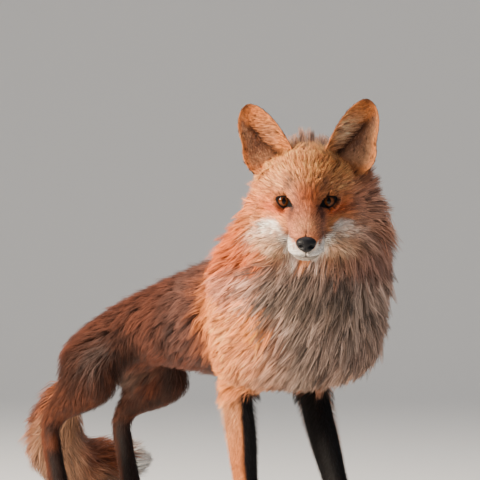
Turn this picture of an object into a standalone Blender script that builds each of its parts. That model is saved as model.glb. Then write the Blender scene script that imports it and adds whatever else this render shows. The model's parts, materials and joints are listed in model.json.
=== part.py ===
"""A life-size red fox in its winter coat, standing low behind with its head turned to its right.

Metres, +Z up. The fox faces -Y, so its left side is +X. Every solid reaches out to the tips of the
coat. The body is lofted and fused whole, then parted where its parts are named.
"""

from math import cos, pi, radians, sin

import bmesh
import bpy
import numpy as np
from mathutils import Matrix, Vector

# ---------------------------------------------------------------------------------------------
# Driving dimensions. Y is counted back from the shoulder blades until stand_on_origin().
# ---------------------------------------------------------------------------------------------
WITHERS_HEIGHT = 0.357
RUMP_HEIGHT = 0.263
BELLY_HEIGHT = 0.188
CHEST_HALF_WIDTH = 0.082
RUFF_HALF_WIDTH = 0.103
SHOULDER_TO_HIP = 0.310

HEAD_TURN = radians(-41.5)  # about +Z: to the fox's right
HEAD_NOD = radians(24)  # nose down
EYE_LINE = Vector((-0.087, -0.140, 0.395))  # the point between the eyes
EYE_SPACING = 0.0495
EYE_RADIUS = 0.0088
EYE_DEPTH = -0.0025  # of its centre behind the eye line
EAR_HEIGHT = 0.068
EAR_HALF_WIDTH = 0.0248
EAR_THICKNESS = 0.0042
# How far each ear stands from the middle, leans out, and turns its cup outwards.
EARS = {"right": (-1, 0.038, radians(22), radians(14)), "left": (1, 0.049, radians(15), radians(24))}

FORE_FOOT_SPREAD = 0.052
HIND_FOOT_SPREAD = 0.062
STRIDES = {"right": (-1, 0.004, 0.000), "left": (1, 0.050, -0.018)}  # side, fore and hind paw forward
PAW_LENGTH = 0.056
PAW_HALF_WIDTH = 0.0195
TOES = 4
FORE_HEEL = 0.010
HIND_HEEL = SHOULDER_TO_HIP + 0.036
FORE_TURN_OUT = radians(6)
HIND_TURN_OUT = radians(8)
WRIST_HEIGHT = 0.046
ELBOW_HEIGHT = 0.174

GAP = 0.0003  # between solids that touch
VOXEL = 0.003
FLESH_TRIANGLES = 4000
SPECK = 1e-7  # cubic metres: no part is smaller

RUST = (0.42, 0.16, 0.06, 1)
SOOT = (0.02, 0.018, 0.02, 1)
AMBER = (0.30, 0.12, 0.02, 1)

FACE = Matrix.Translation(EYE_LINE) @ Matrix.Rotation(HEAD_TURN, 4, "Z")
HEAD = FACE @ Matrix.Rotation(HEAD_NOD, 4, "X")


# ---------------------------------------------------------------------------------------------
# Tools
# ---------------------------------------------------------------------------------------------
def clear_scene():
    for old in list(bpy.data.objects):
        bpy.data.objects.remove(old)


def collection(name):
    made = bpy.data.collections.new(name)
    bpy.context.scene.collection.children.link(made)
    return made


def material(name, colour, roughness):
    made = bpy.data.materials.new(name)
    made.use_nodes = True
    shader = made.node_tree.nodes["Principled BSDF"]
    shader.inputs["Base Color"].default_value = colour
    shader.inputs["Roughness"].default_value = roughness
    made.diffuse_color = colour
    return made


def mesh_object(name, mesh, group):
    made = bpy.data.objects.new(name, mesh)
    group.objects.link(made)
    return made


def as_mesh(bm, name):
    mesh = bpy.data.meshes.new(name)
    bm.to_mesh(mesh)
    bm.free()
    return mesh


def evaluated_mesh(obj):
    graph = bpy.context.evaluated_depsgraph_get()
    return bpy.data.meshes.new_from_object(obj.evaluated_get(graph))


def through(rows, steps):
    """Rows of numbers with a smooth (Catmull-Rom) curve through them, in this many steps each."""
    rows = np.array(rows, float)
    padded = np.vstack([2 * rows[0] - rows[1], rows, 2 * rows[-1] - rows[-2]])
    found = []
    for i in range(1, len(rows)):
        before, start, end, after = padded[i - 1], padded[i], padded[i + 1], padded[i + 2]
        for t in np.arange(steps) / steps:
            bend = 2 * before - 5 * start + 4 * end - after
            twist = 3 * (start - end) + after - before
            found.append(start + 0.5 * t * (end - before + t * (bend + t * twist)))
    return np.array([*found, rows[-1]])


def loft(rows, steps=4, sides=28, place=None):
    """A closed body through ovals. A row holds the centre x, y, z, then how far the oval reaches
    to each side, to its top (the front, where the body runs up or down) and to its underside."""
    rows = through(rows, steps)
    centres = [Vector(row[:3]) for row in rows]
    bm = bmesh.new()
    rings = []
    side, top = Vector((1, 0, 0)), Vector((0, -0.5, 1))
    for i, (centre, row) in enumerate(zip(centres, rows)):
        along = centres[min(i + 1, len(rows) - 1)] - centres[max(i - 1, 0)]
        level = along.cross(Vector((0, 0, 1)))
        if level.length < 0.6 * along.length:
            level = Vector((1, 0, 0))
        side = level.normalized() * (1 if level.dot(side) > 0 else -1)
        up = side.cross(along).normalized()
        up *= 1 if up.dot(top) > 0 else -1
        top = up
        ring = []
        for k in range(sides):
            angle = 2 * pi * k / sides
            reach = row[4] if sin(angle) > 0 else row[5]
            ring.append(bm.verts.new(centre + side * row[3] * cos(angle) + up * reach * sin(angle)))
        rings.append(ring)
    for first, second in zip(rings, rings[1:]):
        for k in range(sides):
            bm.faces.new((first[k - 1], first[k], second[k], second[k - 1]))
    bm.faces.new(rings[0])
    bm.faces.new(rings[-1][::-1])
    bmesh.ops.recalc_face_normals(bm, faces=bm.faces)
    if place:
        bmesh.ops.transform(bm, matrix=place, verts=bm.verts)
    return bm


def egg(centre, radii, place=None, turn=None, segments=24, rings=16):
    """An ellipsoid, turned about its own centre."""
    bm = bmesh.new()
    bmesh.ops.create_uvsphere(bm, u_segments=segments, v_segments=rings, radius=1)
    matrix = Matrix.Translation(centre) @ (turn or Matrix()) @ Matrix.Diagonal((*radii, 1))
    bmesh.ops.transform(bm, matrix=(place or Matrix()) @ matrix, verts=bm.verts)
    return bm


def modified(obj, kind, **settings):
    modifier = obj.modifiers.new(kind.title(), kind)
    for name, value in settings.items():
        setattr(modifier, name, value)
    return modifier


def helper(bm, name):
    """A mesh that only cuts others."""
    made = mesh_object(name, as_mesh(bm, name), cutters)
    made.hide_render = True
    made.display_type = "WIRE"
    return made


def fused(shapes, name):
    """Overlapping closed shapes made one smooth skin with few triangles."""
    whole = bmesh.new()
    for number, shape in enumerate(shapes):
        whole.from_mesh(as_mesh(shape, f"{name}_{number}"))
    made = helper(whole, name)
    modified(made, "REMESH", mode="VOXEL", voxel_size=VOXEL)
    modified(made, "SMOOTH", factor=0.5, iterations=9)
    dense = evaluated_mesh(made)
    triangles = 2 * len(dense.polygons)
    modified(made, "DECIMATE", ratio=FLESH_TRIANGLES / triangles)
    mesh = evaluated_mesh(made)
    bpy.data.objects.remove(made)
    return mesh


def boolean(mesh, cutter, operation):
    """The mesh that a Boolean with this helper leaves."""
    carrier = mesh_object("carrier", mesh, cutters)
    modified(carrier, "BOOLEAN", operation=operation, object=cutter)
    modified(carrier, "TRIANGULATE")
    result = evaluated_mesh(carrier)
    bpy.data.objects.remove(carrier)
    bpy.data.objects.remove(cutter)
    return result


def without(mesh, shapes):
    """The mesh less these shapes, which don't meet each other."""
    whole = bmesh.new()
    for shape in shapes:
        whole.from_mesh(as_mesh(shape, "shape"))
    return boolean(mesh, helper(whole, "cutter"), "DIFFERENCE")


def swollen(mesh, by):
    """A copy of the mesh, larger all round."""
    bm = bmesh.new()
    bm.from_mesh(mesh)
    bm.normal_update()
    for vertex in bm.verts:
        vertex.co += vertex.normal * by * vertex.calc_shell_factor()
    return bm


def slab(centre, tilt, half_x, half_y, place=None):
    """A thin plate, tipped about its own X axis, that parts what it crosses by the gap."""
    bm = bmesh.new()
    bmesh.ops.create_cube(bm, size=1)
    size = Matrix.Diagonal((2 * half_x, 2 * half_y, GAP, 1))
    matrix = Matrix.Translation(centre) @ Matrix.Rotation(tilt, 4, "X") @ size
    bmesh.ops.transform(bm, matrix=(place or Matrix()) @ matrix, verts=bm.verts)
    return bm


def shell(shape):
    """The thin hollow skin of a shape, which parts its inside from its outside by the gap."""
    mesh = as_mesh(shape, "shell")
    bm = swollen(mesh, GAP / 2)
    inner = swollen(mesh, -GAP / 2)
    bmesh.ops.reverse_faces(inner, faces=inner.faces)
    bm.from_mesh(as_mesh(inner, "inner"))
    return bm


def loose_parts(mesh):
    """The separate bodies that make up a mesh, largest first, without any specks."""
    neighbours = [[] for _ in mesh.vertices]
    for edge in mesh.edges:
        first, second = edge.vertices
        neighbours[first].append(second)
        neighbours[second].append(first)
    unseen = set(range(len(neighbours)))
    found = []
    while unseen:
        waiting = [unseen.pop()]
        body = set(waiting)
        while waiting:
            for other in neighbours[waiting.pop()]:
                if other in unseen:
                    unseen.remove(other)
                    body.add(other)
                    waiting.append(other)
        bm = bmesh.new()
        bm.from_mesh(mesh)
        others = [vertex for vertex in bm.verts if vertex.index not in body]
        bmesh.ops.delete(bm, geom=others, context="VERTS")
        volume = bm.calc_volume()
        if volume > SPECK:
            found.append((volume, as_mesh(bm, "body")))
    return [body for volume, body in sorted(found, key=lambda pair: -pair[0])]


def middle(mesh):
    return sum((vertex.co for vertex in mesh.vertices), Vector()) / len(mesh.vertices)


def node(name, mesh, finish):
    made = mesh_object(name, mesh, fox)
    mesh.materials.clear()
    mesh.materials.append(finish)
    mesh.shade_smooth()
    mesh.set_sharp_from_angle(angle=radians(50))
    return made


# ---------------------------------------------------------------------------------------------
# The fox's shapes, each overlapping its neighbours
# ---------------------------------------------------------------------------------------------
def trunk_shapes():
    """Breast to rump. The back falls towards the rump and the belly stays level."""
    hip = SHOULDER_TO_HIP
    sections = [  # back from the shoulders, height of the back, of the underline, half the width
        (-0.080, 0.300, 0.240, 0.030),
        (-0.055, 0.330, 0.205, 0.062),
        (0.000, WITHERS_HEIGHT - 0.004, BELLY_HEIGHT, CHEST_HALF_WIDTH),
        (0.060, 0.343, BELLY_HEIGHT - 0.002, CHEST_HALF_WIDTH + 0.002),
        (0.120, 0.328, BELLY_HEIGHT, CHEST_HALF_WIDTH),
        (0.180, 0.311, BELLY_HEIGHT + 0.005, 0.074),
        (0.240, 0.291, BELLY_HEIGHT + 0.008, 0.066),
        (hip, RUMP_HEIGHT, 0.178, 0.062),
        (hip + 0.045, 0.238, 0.166, 0.052),
        (hip + 0.076, 0.212, 0.175, 0.030),
    ]
    rows = [
        (0, y, (top + low) / 2, wide, (top - low) / 2, (top - low) / 2)
        for y, top, low, wide in sections
    ]
    shoulders = [
        egg((side * 0.055, -0.004, 0.262), (0.034, 0.058, 0.078)) for side in (-1, 1)
    ]
    return [loft(rows), *shoulders]


def neck_shapes():
    """The neck in its ruff and bib, an upright column whose ovals are turned as the head is."""
    ruff = RUFF_HALF_WIDTH
    rows = [  # to the column's left, back and up, then half its width, its front and its back
        (0.000, -0.026, 0.186, 0.046, 0.042, 0.042),
        (0.007, -0.030, 0.204, ruff - 0.016, 0.066, 0.066),
        (0.011, -0.033, 0.222, ruff - 0.005, 0.076, 0.074),
        (0.014, -0.036, 0.238, ruff + 0.001, 0.082, 0.077),
        (0.015, -0.040, 0.258, ruff + 0.001, 0.084, 0.078),
        (0.020, -0.045, 0.301, ruff + 0.004, 0.086, 0.078),
        (0.029, -0.054, 0.340, ruff - 0.005, 0.080, 0.076),
        (0.034, -0.062, 0.365, ruff - 0.012, 0.068, 0.074),
        (0.036, -0.070, 0.390, ruff - 0.019, 0.060, 0.070),
        (0.036, -0.077, 0.414, ruff - 0.027, 0.050, 0.064),
        (0.034, -0.084, 0.437, ruff - 0.037, 0.040, 0.050),
        (0.029, -0.088, 0.450, ruff - 0.070, 0.020, 0.025),
    ]
    column = loft(rows, place=Matrix.Rotation(HEAD_TURN, 4, "Z"))
    nape = [
        (0.000, 0.075, 0.270, 0.066, 0.066, 0.060),
        (-0.002, 0.030, 0.285, 0.082, 0.072, 0.070),
        (-0.004, -0.020, 0.310, 0.090, 0.070, 0.080),
    ]
    return [column, loft(nape)]


def head_shapes():
    """Skull and muzzle along the head's own axis, then the cheeks' long fur."""
    sections = [  # forward is -Y: centre height, half width, reach up, reach down
        (-0.0720, -0.0250, 0.0095, 0.0085, 0.0110),
        (-0.0670, -0.0260, 0.0175, 0.0135, 0.0170),
        (-0.0600, -0.0260, 0.0215, 0.0160, 0.0200),
        (-0.0480, -0.0235, 0.0210, 0.0172, 0.0215),
        (-0.0340, -0.0190, 0.0198, 0.0185, 0.0245),
        (-0.0200, -0.0140, 0.0215, 0.0210, 0.0290),
        (-0.0060, -0.0080, 0.0275, 0.0265, 0.0360),
        (0.0080, -0.0020, 0.0370, 0.0360, 0.0440),
        (0.0300, 0.0030, 0.0560, 0.0460, 0.0500),
        (0.0560, 0.0040, 0.0600, 0.0480, 0.0480),
        (0.0780, 0.0020, 0.0480, 0.0400, 0.0400),
        (0.0920, 0.0000, 0.0280, 0.0240, 0.0260),
    ]
    rows = [(0, y, z, wide, up, down) for y, z, wide, up, down in sections]
    cheeks = [
        egg((side * 0.037, 0.040, -0.028), (0.033, 0.036, 0.042), place=FACE) for side in (-1, 1)
    ]
    jowls = [
        egg((side * 0.024, 0.020, -0.034), (0.020, 0.030, 0.024), place=FACE) for side in (-1, 1)
    ]
    brows = [
        egg((side * 0.020, 0.008, 0.012), (0.014, 0.015, 0.010), place=FACE) for side in (-1, 1)
    ]
    return [loft(rows, place=HEAD), *cheeks, *jowls, *brows]


def limb(rows, side):
    """A leg as an oval loft; rows give x for the left leg."""
    return loft([(side * x, *rest) for x, *rest in rows], sides=20)


def toe_spot(toe):
    """How far across the paw a toe lies, from -1 to 1, and how far forward of the heel."""
    across = (toe - (TOES - 1) / 2) / ((TOES - 1) / 2)
    return across, PAW_LENGTH * (0.13 * abs(across) ** 1.5 - 0.80)


def paw_shapes(x, heel, side, turn_out):
    """Foot and toes, a little turned out. The heel is the back of the pad."""
    place = Matrix.Translation((x, heel, 0)) @ Matrix.Rotation(side * turn_out, 4, "Z")
    length, half = PAW_LENGTH, PAW_HALF_WIDTH
    shapes = [
        egg((0, -0.40 * length, 0.012), (half, 0.44 * length, 0.018), place=place),
        egg((0, -0.25 * length, 0.024), (0.78 * half, 0.32 * length, 0.017), place=place),
    ]
    for toe in range(TOES):
        across, reach = toe_spot(toe)
        centre = (across * 0.72 * half, reach, 0.0085)
        turn = Matrix.Rotation(-across * 0.22, 4, "Z")
        shapes.append(egg(centre, (0.0068, 0.0135, 0.0112), place=place, turn=turn))
    return shapes


def foreleg_shapes(side, step):
    """A straight foreleg under the shoulder, its paw this far forward of the upright."""
    x = FORE_FOOT_SPREAD
    rows = [
        (x + 0.003, -0.002, 0.270, 0.026, 0.046, 0.046),
        (x + 0.004, 0.014, 0.215, 0.027, 0.040, 0.040),
        (x + 0.003, 0.017 - 0.15 * step, 0.175, 0.024, 0.031, 0.031),
        (x + 0.001, 0.013 - 0.45 * step, 0.125, 0.0195, 0.0225, 0.0225),
        (x, 0.009 - 0.75 * step, 0.080, 0.0165, 0.0180, 0.0180),
        (x, 0.005 - 0.90 * step, 0.056, 0.0172, 0.0185, 0.0185),
        (x, -0.004 - step, 0.030, 0.0168, 0.0175, 0.0175),
        (x, -0.008 - step, 0.012, 0.0150, 0.0160, 0.0160),
    ]
    return [limb(rows, side), *paw_shapes(side * x, FORE_HEEL - step, side, FORE_TURN_OUT)]


def hindleg_shapes(side, step):
    """A bent hind leg: thigh forward to the stifle, shank back to the hock, foot down."""
    x = HIND_FOOT_SPREAD
    hip = SHOULDER_TO_HIP
    thigh = [
        (0.038, hip + 0.034, 0.202, 0.028, 0.028, 0.036),
        (0.046, hip + 0.006, 0.198, 0.034, 0.040, 0.046),
        (0.056, hip - 0.034 - step / 2, 0.188, 0.030, 0.042, 0.036),
        (0.061, hip - 0.068 - step / 2, 0.178, 0.021, 0.026, 0.023),
    ]
    shank = [
        (0.060, hip - 0.062 - step / 2, 0.184, 0.025, 0.028, 0.026),
        (0.061, hip - 0.018 - step / 2, 0.171, 0.025, 0.034, 0.030),
        (0.061, hip + 0.024 - step, 0.151, 0.020, 0.026, 0.022),
        (x, hip + 0.050 - step, 0.137, 0.0155, 0.0165, 0.0160),
        (x, hip + 0.060 - step, 0.126, 0.0120, 0.0120, 0.0130),
    ]
    foot = [
        (x, hip + 0.053 - step, 0.142, 0.0135, 0.0140, 0.0140),
        (x, hip + 0.053 - step, 0.122, 0.0146, 0.0165, 0.0165),
        (x, hip + 0.043 - step, 0.084, 0.0136, 0.0150, 0.0150),
        (x, hip + 0.030 - step, 0.042, 0.0146, 0.0160, 0.0160),
        (x, hip + 0.022 - step, 0.012, 0.0150, 0.0170, 0.0170),
    ]
    lengths = [limb(rows, side) for rows in (thigh, shank, foot)]
    return [*lengths, *paw_shapes(side * x, HIND_HEEL - step, side, HIND_TURN_OUT)]


def tail_shapes():
    """A brush that droops from the rump, swings to the left and floats clear of the floor."""
    root = SHOULDER_TO_HIP + 0.040
    rows = [
        (0.000, root, 0.212, 0.024, 0.022, 0.026),
        (0.002, root + 0.030, 0.192, 0.028, 0.026, 0.028),
        (0.006, root + 0.062, 0.165, 0.034, 0.032, 0.033),
        (0.014, root + 0.094, 0.134, 0.039, 0.037, 0.038),
        (0.030, root + 0.124, 0.104, 0.043, 0.042, 0.043),
        (0.056, root + 0.150, 0.080, 0.045, 0.044, 0.045),
        (0.090, root + 0.168, 0.066, 0.044, 0.044, 0.044),
        (0.128, root + 0.176, 0.061, 0.040, 0.041, 0.041),
        (0.164, root + 0.174, 0.062, 0.032, 0.033, 0.033),
        (0.196, root + 0.166, 0.064, 0.020, 0.020, 0.020),
        (0.210, root + 0.161, 0.065, 0.005, 0.005, 0.005),
    ]
    return [loft(rows)]


def ear_mesh(side, spread, lean, yaw):
    """An upright cup with a round tip, open to the front, its root sunk in the skull."""
    across, along = 8, 11
    root = -0.24  # how far it runs on into the skull, as a share of its height
    turn = Matrix.Rotation(side * lean, 3, "Y") @ Matrix.Rotation(radians(-4), 3, "X")
    turn = turn @ Matrix.Rotation(side * yaw, 3, "Z")
    base = Vector((side * spread, 0.036, 0.045))
    bm = bmesh.new()
    grid = []
    for j in range(along + 1):
        rise = root + (1 - root) * (1 - (1 - j / along) ** 1.15)
        up = max(rise, 0)
        half = EAR_HALF_WIDTH * (1 - up**3.2) ** 0.62 * (1 + 0.4 * min(rise, 0)) + 0.0008
        cup = 0.020 * (1 - up) ** 0.75 + 0.0015
        row = []
        for i in range(across + 1):
            u = 2 * i / across - 1
            place = Vector((u * half, cup * (1 - abs(u) ** 2.2), EAR_HEIGHT * rise))
            row.append(bm.verts.new(base + turn @ place))
        grid.append(row)
    for low, high in zip(grid, grid[1:]):
        for i in range(across):
            bm.faces.new((low[i], low[i + 1], high[i + 1], high[i]))
    bmesh.ops.transform(bm, matrix=FACE, verts=bm.verts)
    sheet = helper(bm, "ear_sheet")
    modified(sheet, "SOLIDIFY", thickness=EAR_THICKNESS, offset=0, use_even_offset=False)
    mesh = evaluated_mesh(sheet)
    bpy.data.objects.remove(sheet)
    return mesh


def eye_centre(side):
    return FACE @ Vector((side * EYE_SPACING / 2, EYE_DEPTH, 0))


def nose_mesh():
    """The bare nose pad: broad above, narrow below, flat in front."""
    bm = egg((0, 0, 0), (1, 1, 1), segments=14, rings=9)
    for vertex in bm.verts:
        taper = 1 + 0.28 * vertex.co.z
        vertex.co.x *= 0.0108 * taper
        vertex.co.y *= 0.0075
        vertex.co.z *= 0.0088
    bmesh.ops.transform(bm, matrix=HEAD @ Matrix.Translation((0, -0.0705, -0.0205)), verts=bm.verts)
    return as_mesh(bm, "nose_pad")


# ---------------------------------------------------------------------------------------------
# Assembly
# ---------------------------------------------------------------------------------------------


def claws(x, heel, side, turn_out):
    """Four small curved claws, one on each toe."""
    place = Matrix.Translation((x, heel, 0)) @ Matrix.Rotation(side * turn_out, 4, "Z")
    shapes = []
    for toe in range(TOES):
        across, reach = toe_spot(toe)
        rows = [
            (0, 0.0040, 0.0085, 0.0022, 0.0024, 0.0024),
            (0, -0.0030, 0.0088, 0.0019, 0.0021, 0.0021),
            (0, -0.0070, 0.0068, 0.0014, 0.0016, 0.0016),
            (0, -0.0095, 0.0032, 0.0005, 0.0006, 0.0006),
        ]
        tip = Matrix.Translation((across * 0.76 * PAW_HALF_WIDTH, reach - 0.011, 0))
        turn = Matrix.Rotation(-across * 0.22, 4, "Z")
        shapes.append(loft(rows, steps=1, sides=5, place=place @ tip @ turn))
    return shapes


# ---------------------------------------------------------------------------------------------
# Assembly
# ---------------------------------------------------------------------------------------------
def build_flesh():
    """The whole fox but for ears, eyes and nose, as one body with flat soles."""
    shapes = [*trunk_shapes(), *neck_shapes(), *head_shapes(), *tail_shapes()]
    for side, fore_step, hind_step in STRIDES.values():
        shapes += foreleg_shapes(side, fore_step)
        shapes += hindleg_shapes(side, hind_step)
    below = bmesh.new()
    bmesh.ops.create_cube(below, size=1)
    floor = Matrix.Translation((0, 0.1, -0.1)) @ Matrix.Diagonal((1, 1, 0.2, 1))
    bmesh.ops.transform(below, matrix=floor, verts=below.verts)
    return without(fused(shapes, "flesh"), [below])


def cross_cuts():
    """Plates that part head, neck, trunk and tail, and the forelegs and paws."""
    tail_cut = Vector((0.005, SHOULDER_TO_HIP + 0.082, 0.180))
    plates = [
        slab((0, 0.020, -0.078), radians(53), 0.13, 0.19, place=FACE),
        slab((0, -0.055, 0.290), radians(47), 0.14, 0.16),
        slab(tail_cut, radians(43), 0.040, 0.044),
    ]
    for side, fore_step, hind_step in STRIDES.values():
        x = side * FORE_FOOT_SPREAD
        plates.append(slab((x, 0.010 - 0.15 * fore_step, ELBOW_HEIGHT), 0, 0.036, 0.046))
        plates.append(slab((x, -fore_step, WRIST_HEIGHT), 0, 0.030, 0.034))
        x = side * HIND_FOOT_SPREAD
        plates.append(slab((x, HIND_HEEL - 0.005 - hind_step, WRIST_HEIGHT), 0, 0.030, 0.034))
    return plates


def haunch(side):
    """A wedge round each hind leg: it widens towards the tail and its roof falls with the back."""
    front, back = 0.198, 0.420
    bm = bmesh.new()
    bmesh.ops.create_cube(bm, size=2)
    for vertex in bm.verts:
        inner, rear, upper = vertex.co.x < 0, vertex.co.y > 0, vertex.co.z > 0
        x = (0.046 if rear else 0.026) if inner else 0.130
        z = (0.193 if rear else 0.265) if upper else -0.030
        vertex.co = (side * x, back if rear else front, z)
    bm.normal_update()
    bmesh.ops.recalc_face_normals(bm, faces=bm.faces)
    return bm


def name_parts(bodies):
    """Each body takes the name of the spot that its middle is nearest to."""
    hip = SHOULDER_TO_HIP
    spots = {
        "head": FACE @ Vector((0, 0.02, 0)),
        "neck": Vector((-0.02, -0.06, 0.33)),
        "trunk": Vector((0, 0.14, 0.26)),
        "tail": Vector((0.06, hip + 0.14, 0.10)),
    }
    for name, (side, fore_step, hind_step) in STRIDES.items():
        fore, hind = side * FORE_FOOT_SPREAD, side * HIND_FOOT_SPREAD
        spots[f"foreleg_{name}"] = Vector((fore, 0.01 - fore_step / 2, 0.11))
        spots[f"forepaw_{name}"] = Vector((fore, -0.02 - fore_step, 0.015))
        spots[f"hindleg_{name}"] = Vector((hind, hip - 0.01 - hind_step / 2, 0.16))
        spots[f"hindpaw_{name}"] = Vector((hind, hip - hind_step, 0.015))
    named = {}
    for body in bodies:
        spot = min(spots, key=lambda name: (spots[name] - middle(body)).length)
        named[spot] = body
        del spots[spot]
    return named


def build_parts():
    """Every part of the fox as a mesh, by name."""
    flesh = without(build_flesh(), cross_cuts())
    bodies = loose_parts(without(flesh, [shell(haunch(side)) for side in (-1, 1)]))
    parts = name_parts(bodies)
    for name, shape in EARS.items():
        trimmed = without(ear_mesh(*shape), [swollen(parts["head"], GAP)])
        trimmed = without(trimmed, [swollen(parts["neck"], GAP)])
        parts[f"ear_{name}"] = loose_parts(trimmed)[0]
    parts["nose"] = nose_mesh()
    parts["head"] = without(parts["head"], [swollen(parts["nose"], GAP)])
    for name, (side, *_) in EARS.items():
        centre = eye_centre(side)
        opening = centre + FACE.to_3x3() @ Vector((0, -0.0100, 0))
        socket = [EYE_RADIUS + GAP] * 3
        parts[f"eye_{name}"] = as_mesh(egg(centre, [EYE_RADIUS] * 3, segments=16, rings=10), "eye")
        head = without(parts["head"], [egg(centre, socket, segments=16, rings=10)])
        lids = egg(opening, (0.0084, 0.0075, 0.0062), segments=14, rings=8)
        parts["head"] = without(head, [lids])
    for name, (side, fore_step, hind_step) in STRIDES.items():
        fore = claws(side * FORE_FOOT_SPREAD, FORE_HEEL - fore_step, side, FORE_TURN_OUT)
        hind = claws(side * HIND_FOOT_SPREAD, HIND_HEEL - hind_step, side, HIND_TURN_OUT)
        for paw, nails in ((f"forepaw_{name}", fore), (f"hindpaw_{name}", hind)):
            for nail in nails:
                parts[paw] = boolean(parts[paw], helper(nail, "claw"), "UNION")
    return parts


def stand_on_origin(parts):
    """Moves everything so that the box round the fox stands centred on the origin."""
    points = [vertex.co for mesh in parts.values() for vertex in mesh.vertices]
    low = Vector(min(point[axis] for point in points) for axis in range(3))
    high = Vector(max(point[axis] for point in points) for axis in range(3))
    shift = -Vector(((low.x + high.x) / 2, (low.y + high.y) / 2, low.z))
    for mesh in parts.values():
        mesh.transform(Matrix.Translation(shift))


clear_scene()
fox = collection("red_fox")
cutters = collection("cutters")
parts = build_parts()
stand_on_origin(parts)
finishes = {
    "coat": material("red_coat", RUST, 0.9),
    "stocking": material("black_coat", SOOT, 0.85),
    "nose": material("nose_leather", SOOT, 0.35),
    "eye": material("eye", AMBER, 0.08),
}
looks = {"fore": "stocking", "hind": "coat", "nose": "nose", "eye_": "eye"}
for name, mesh in parts.items():
    node(name, mesh, finishes[looks.get(name[:4], "coat")])
bpy.data.collections.remove(cutters)
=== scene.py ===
"""The looks of a life-size red fox in winter coat: one skin, a coat of solid tufts, eyes, nose,
whiskers and claws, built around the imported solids.

Metres, +Z up. The fox faces -Y and its head is turned to its right. Three sets of axes are used:
"body", whose X is 0 on the fox's midline and whose Y counts back from the shoulder blades;
"face", whose origin lies between the eyes, X to the fox's left, Y back and Z up; and
"head", which is face tipped nose down, so that -Y runs along the muzzle.
"""

import json
from math import cos, pi, radians, sin

import bmesh
import bpy
import numpy as np
from mathutils import Matrix, Vector
from mathutils.bvhtree import BVHTree
from mathutils.kdtree import KDTree

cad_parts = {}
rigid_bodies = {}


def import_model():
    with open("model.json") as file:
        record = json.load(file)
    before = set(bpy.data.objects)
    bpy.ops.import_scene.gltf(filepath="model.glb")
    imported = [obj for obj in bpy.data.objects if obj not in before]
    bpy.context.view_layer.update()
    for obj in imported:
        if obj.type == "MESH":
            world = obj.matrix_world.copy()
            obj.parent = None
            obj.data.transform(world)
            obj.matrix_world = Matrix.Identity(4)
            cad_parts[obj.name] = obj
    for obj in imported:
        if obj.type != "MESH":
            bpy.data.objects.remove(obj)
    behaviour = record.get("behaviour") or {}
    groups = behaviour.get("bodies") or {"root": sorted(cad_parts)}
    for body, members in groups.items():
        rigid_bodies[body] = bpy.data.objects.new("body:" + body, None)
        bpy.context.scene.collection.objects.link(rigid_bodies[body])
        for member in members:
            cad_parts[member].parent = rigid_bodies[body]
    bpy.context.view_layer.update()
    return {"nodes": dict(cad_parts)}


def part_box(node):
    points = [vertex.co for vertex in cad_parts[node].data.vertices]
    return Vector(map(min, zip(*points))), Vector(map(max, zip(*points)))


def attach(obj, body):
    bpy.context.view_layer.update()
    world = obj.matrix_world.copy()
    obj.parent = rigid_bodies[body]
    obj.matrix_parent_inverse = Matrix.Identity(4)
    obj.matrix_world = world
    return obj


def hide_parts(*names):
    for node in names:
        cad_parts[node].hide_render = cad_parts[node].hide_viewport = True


for old in list(bpy.data.objects):
    bpy.data.objects.remove(old)
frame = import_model()

# ---- Sizes ----
SIDES = {"right": -1, "left": 1}
LIMBS = ["foreleg", "forepaw", "hindleg", "hindpaw"]
PAWS = [f"{part}_{side}" for part in ("forepaw", "hindpaw") for side in SIDES]
FLESH = ["head", "neck", "trunk", "tail"] + [f"{part}_{side}" for part in LIMBS for side in SIDES]
CODE = {name: k for k, name in enumerate(FLESH)}

SKIN_VOXEL = 0.0032
CLOSE_GAP = 0.0005  # swelling that closes the hairline gaps between the solids
HEAD_NOD = radians(24)
EYE_RADIUS = 0.0088
EYE_SPACING = 0.0495
EYE_FORWARD = 0.0025  # eye centres lie this far in front of the face origin
EYE_LINE = np.array((-0.087, -0.14, 0.395))  # the face origin in body axes
IRIS_RADIUS = 0.0072
PUPIL = (0.0024, 0.0038)  # half its width and half its height

LID_TILT = radians(28)
LID_MIDDLE = (-0.0006, -0.0016)  # of the opening, outward and up from the eye's centre
LID_REACH = 0.0106  # half the opening's length, corner to corner
LID_RISE, LID_DROP = 0.006, 0.0052  # how far the lids open above and below the line between the corners
LID_COVER = 0.0009  # how far the lids lie outside the eyeball
LID_SINK = 0.0014  # how far the skin in the opening lies inside the eyeball
EYE_ZONE = 0.0165  # the lids are shaped this far from the eye's centre

EAR_HEIGHT = 0.068
EAR_HALF_WIDTH = 0.0248
EAR_SHEET = 0.0016
EAR_ROOT = (0.036, 0.045)  # its place back and up from the face origin
EAR_SLIT = -0.24  # how far across the dark fold in the ear lies at its root; it leans outward as it rises
# side, distance from the midline, lean outward, turn outward, breadth, height
EARS = {
    "right": (-1, 0.0375, radians(25), radians(14), 0.98, 1.01),
    "left": (1, 0.0437, radians(20), radians(24), 1.07, 1.065),
}
EAR_LINING_LIGHT = {"right": 0, "left": 0.8}  # how pale the hair inside each ear is painted; the left ear's is paler with painted light falling into it

NOSE_CENTRE = np.array((0, -0.0705, -0.0205))  # in head axes
NOSE_HALF = (0.0107, 0.0082, 0.0087)

TAIL_LINE = np.array(
    (
        (0, 0.35, 0.212),
        (0.002, 0.38, 0.192),
        (0.006, 0.412, 0.165),
        (0.014, 0.444, 0.134),
        (0.03, 0.474, 0.104),
        (0.056, 0.5, 0.08),
        (0.09, 0.518, 0.066),
        (0.128, 0.526, 0.061),
        (0.164, 0.524, 0.062),
        (0.196, 0.516, 0.064),
        (0.21, 0.511, 0.065),
    )
)

PAW_TURN = {"fore": radians(6), "hind": radians(8)}  # outward
TOE_GAPS = (-0.0098, 0, 0.0098)  # places across a paw of the grooves between its toes

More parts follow.
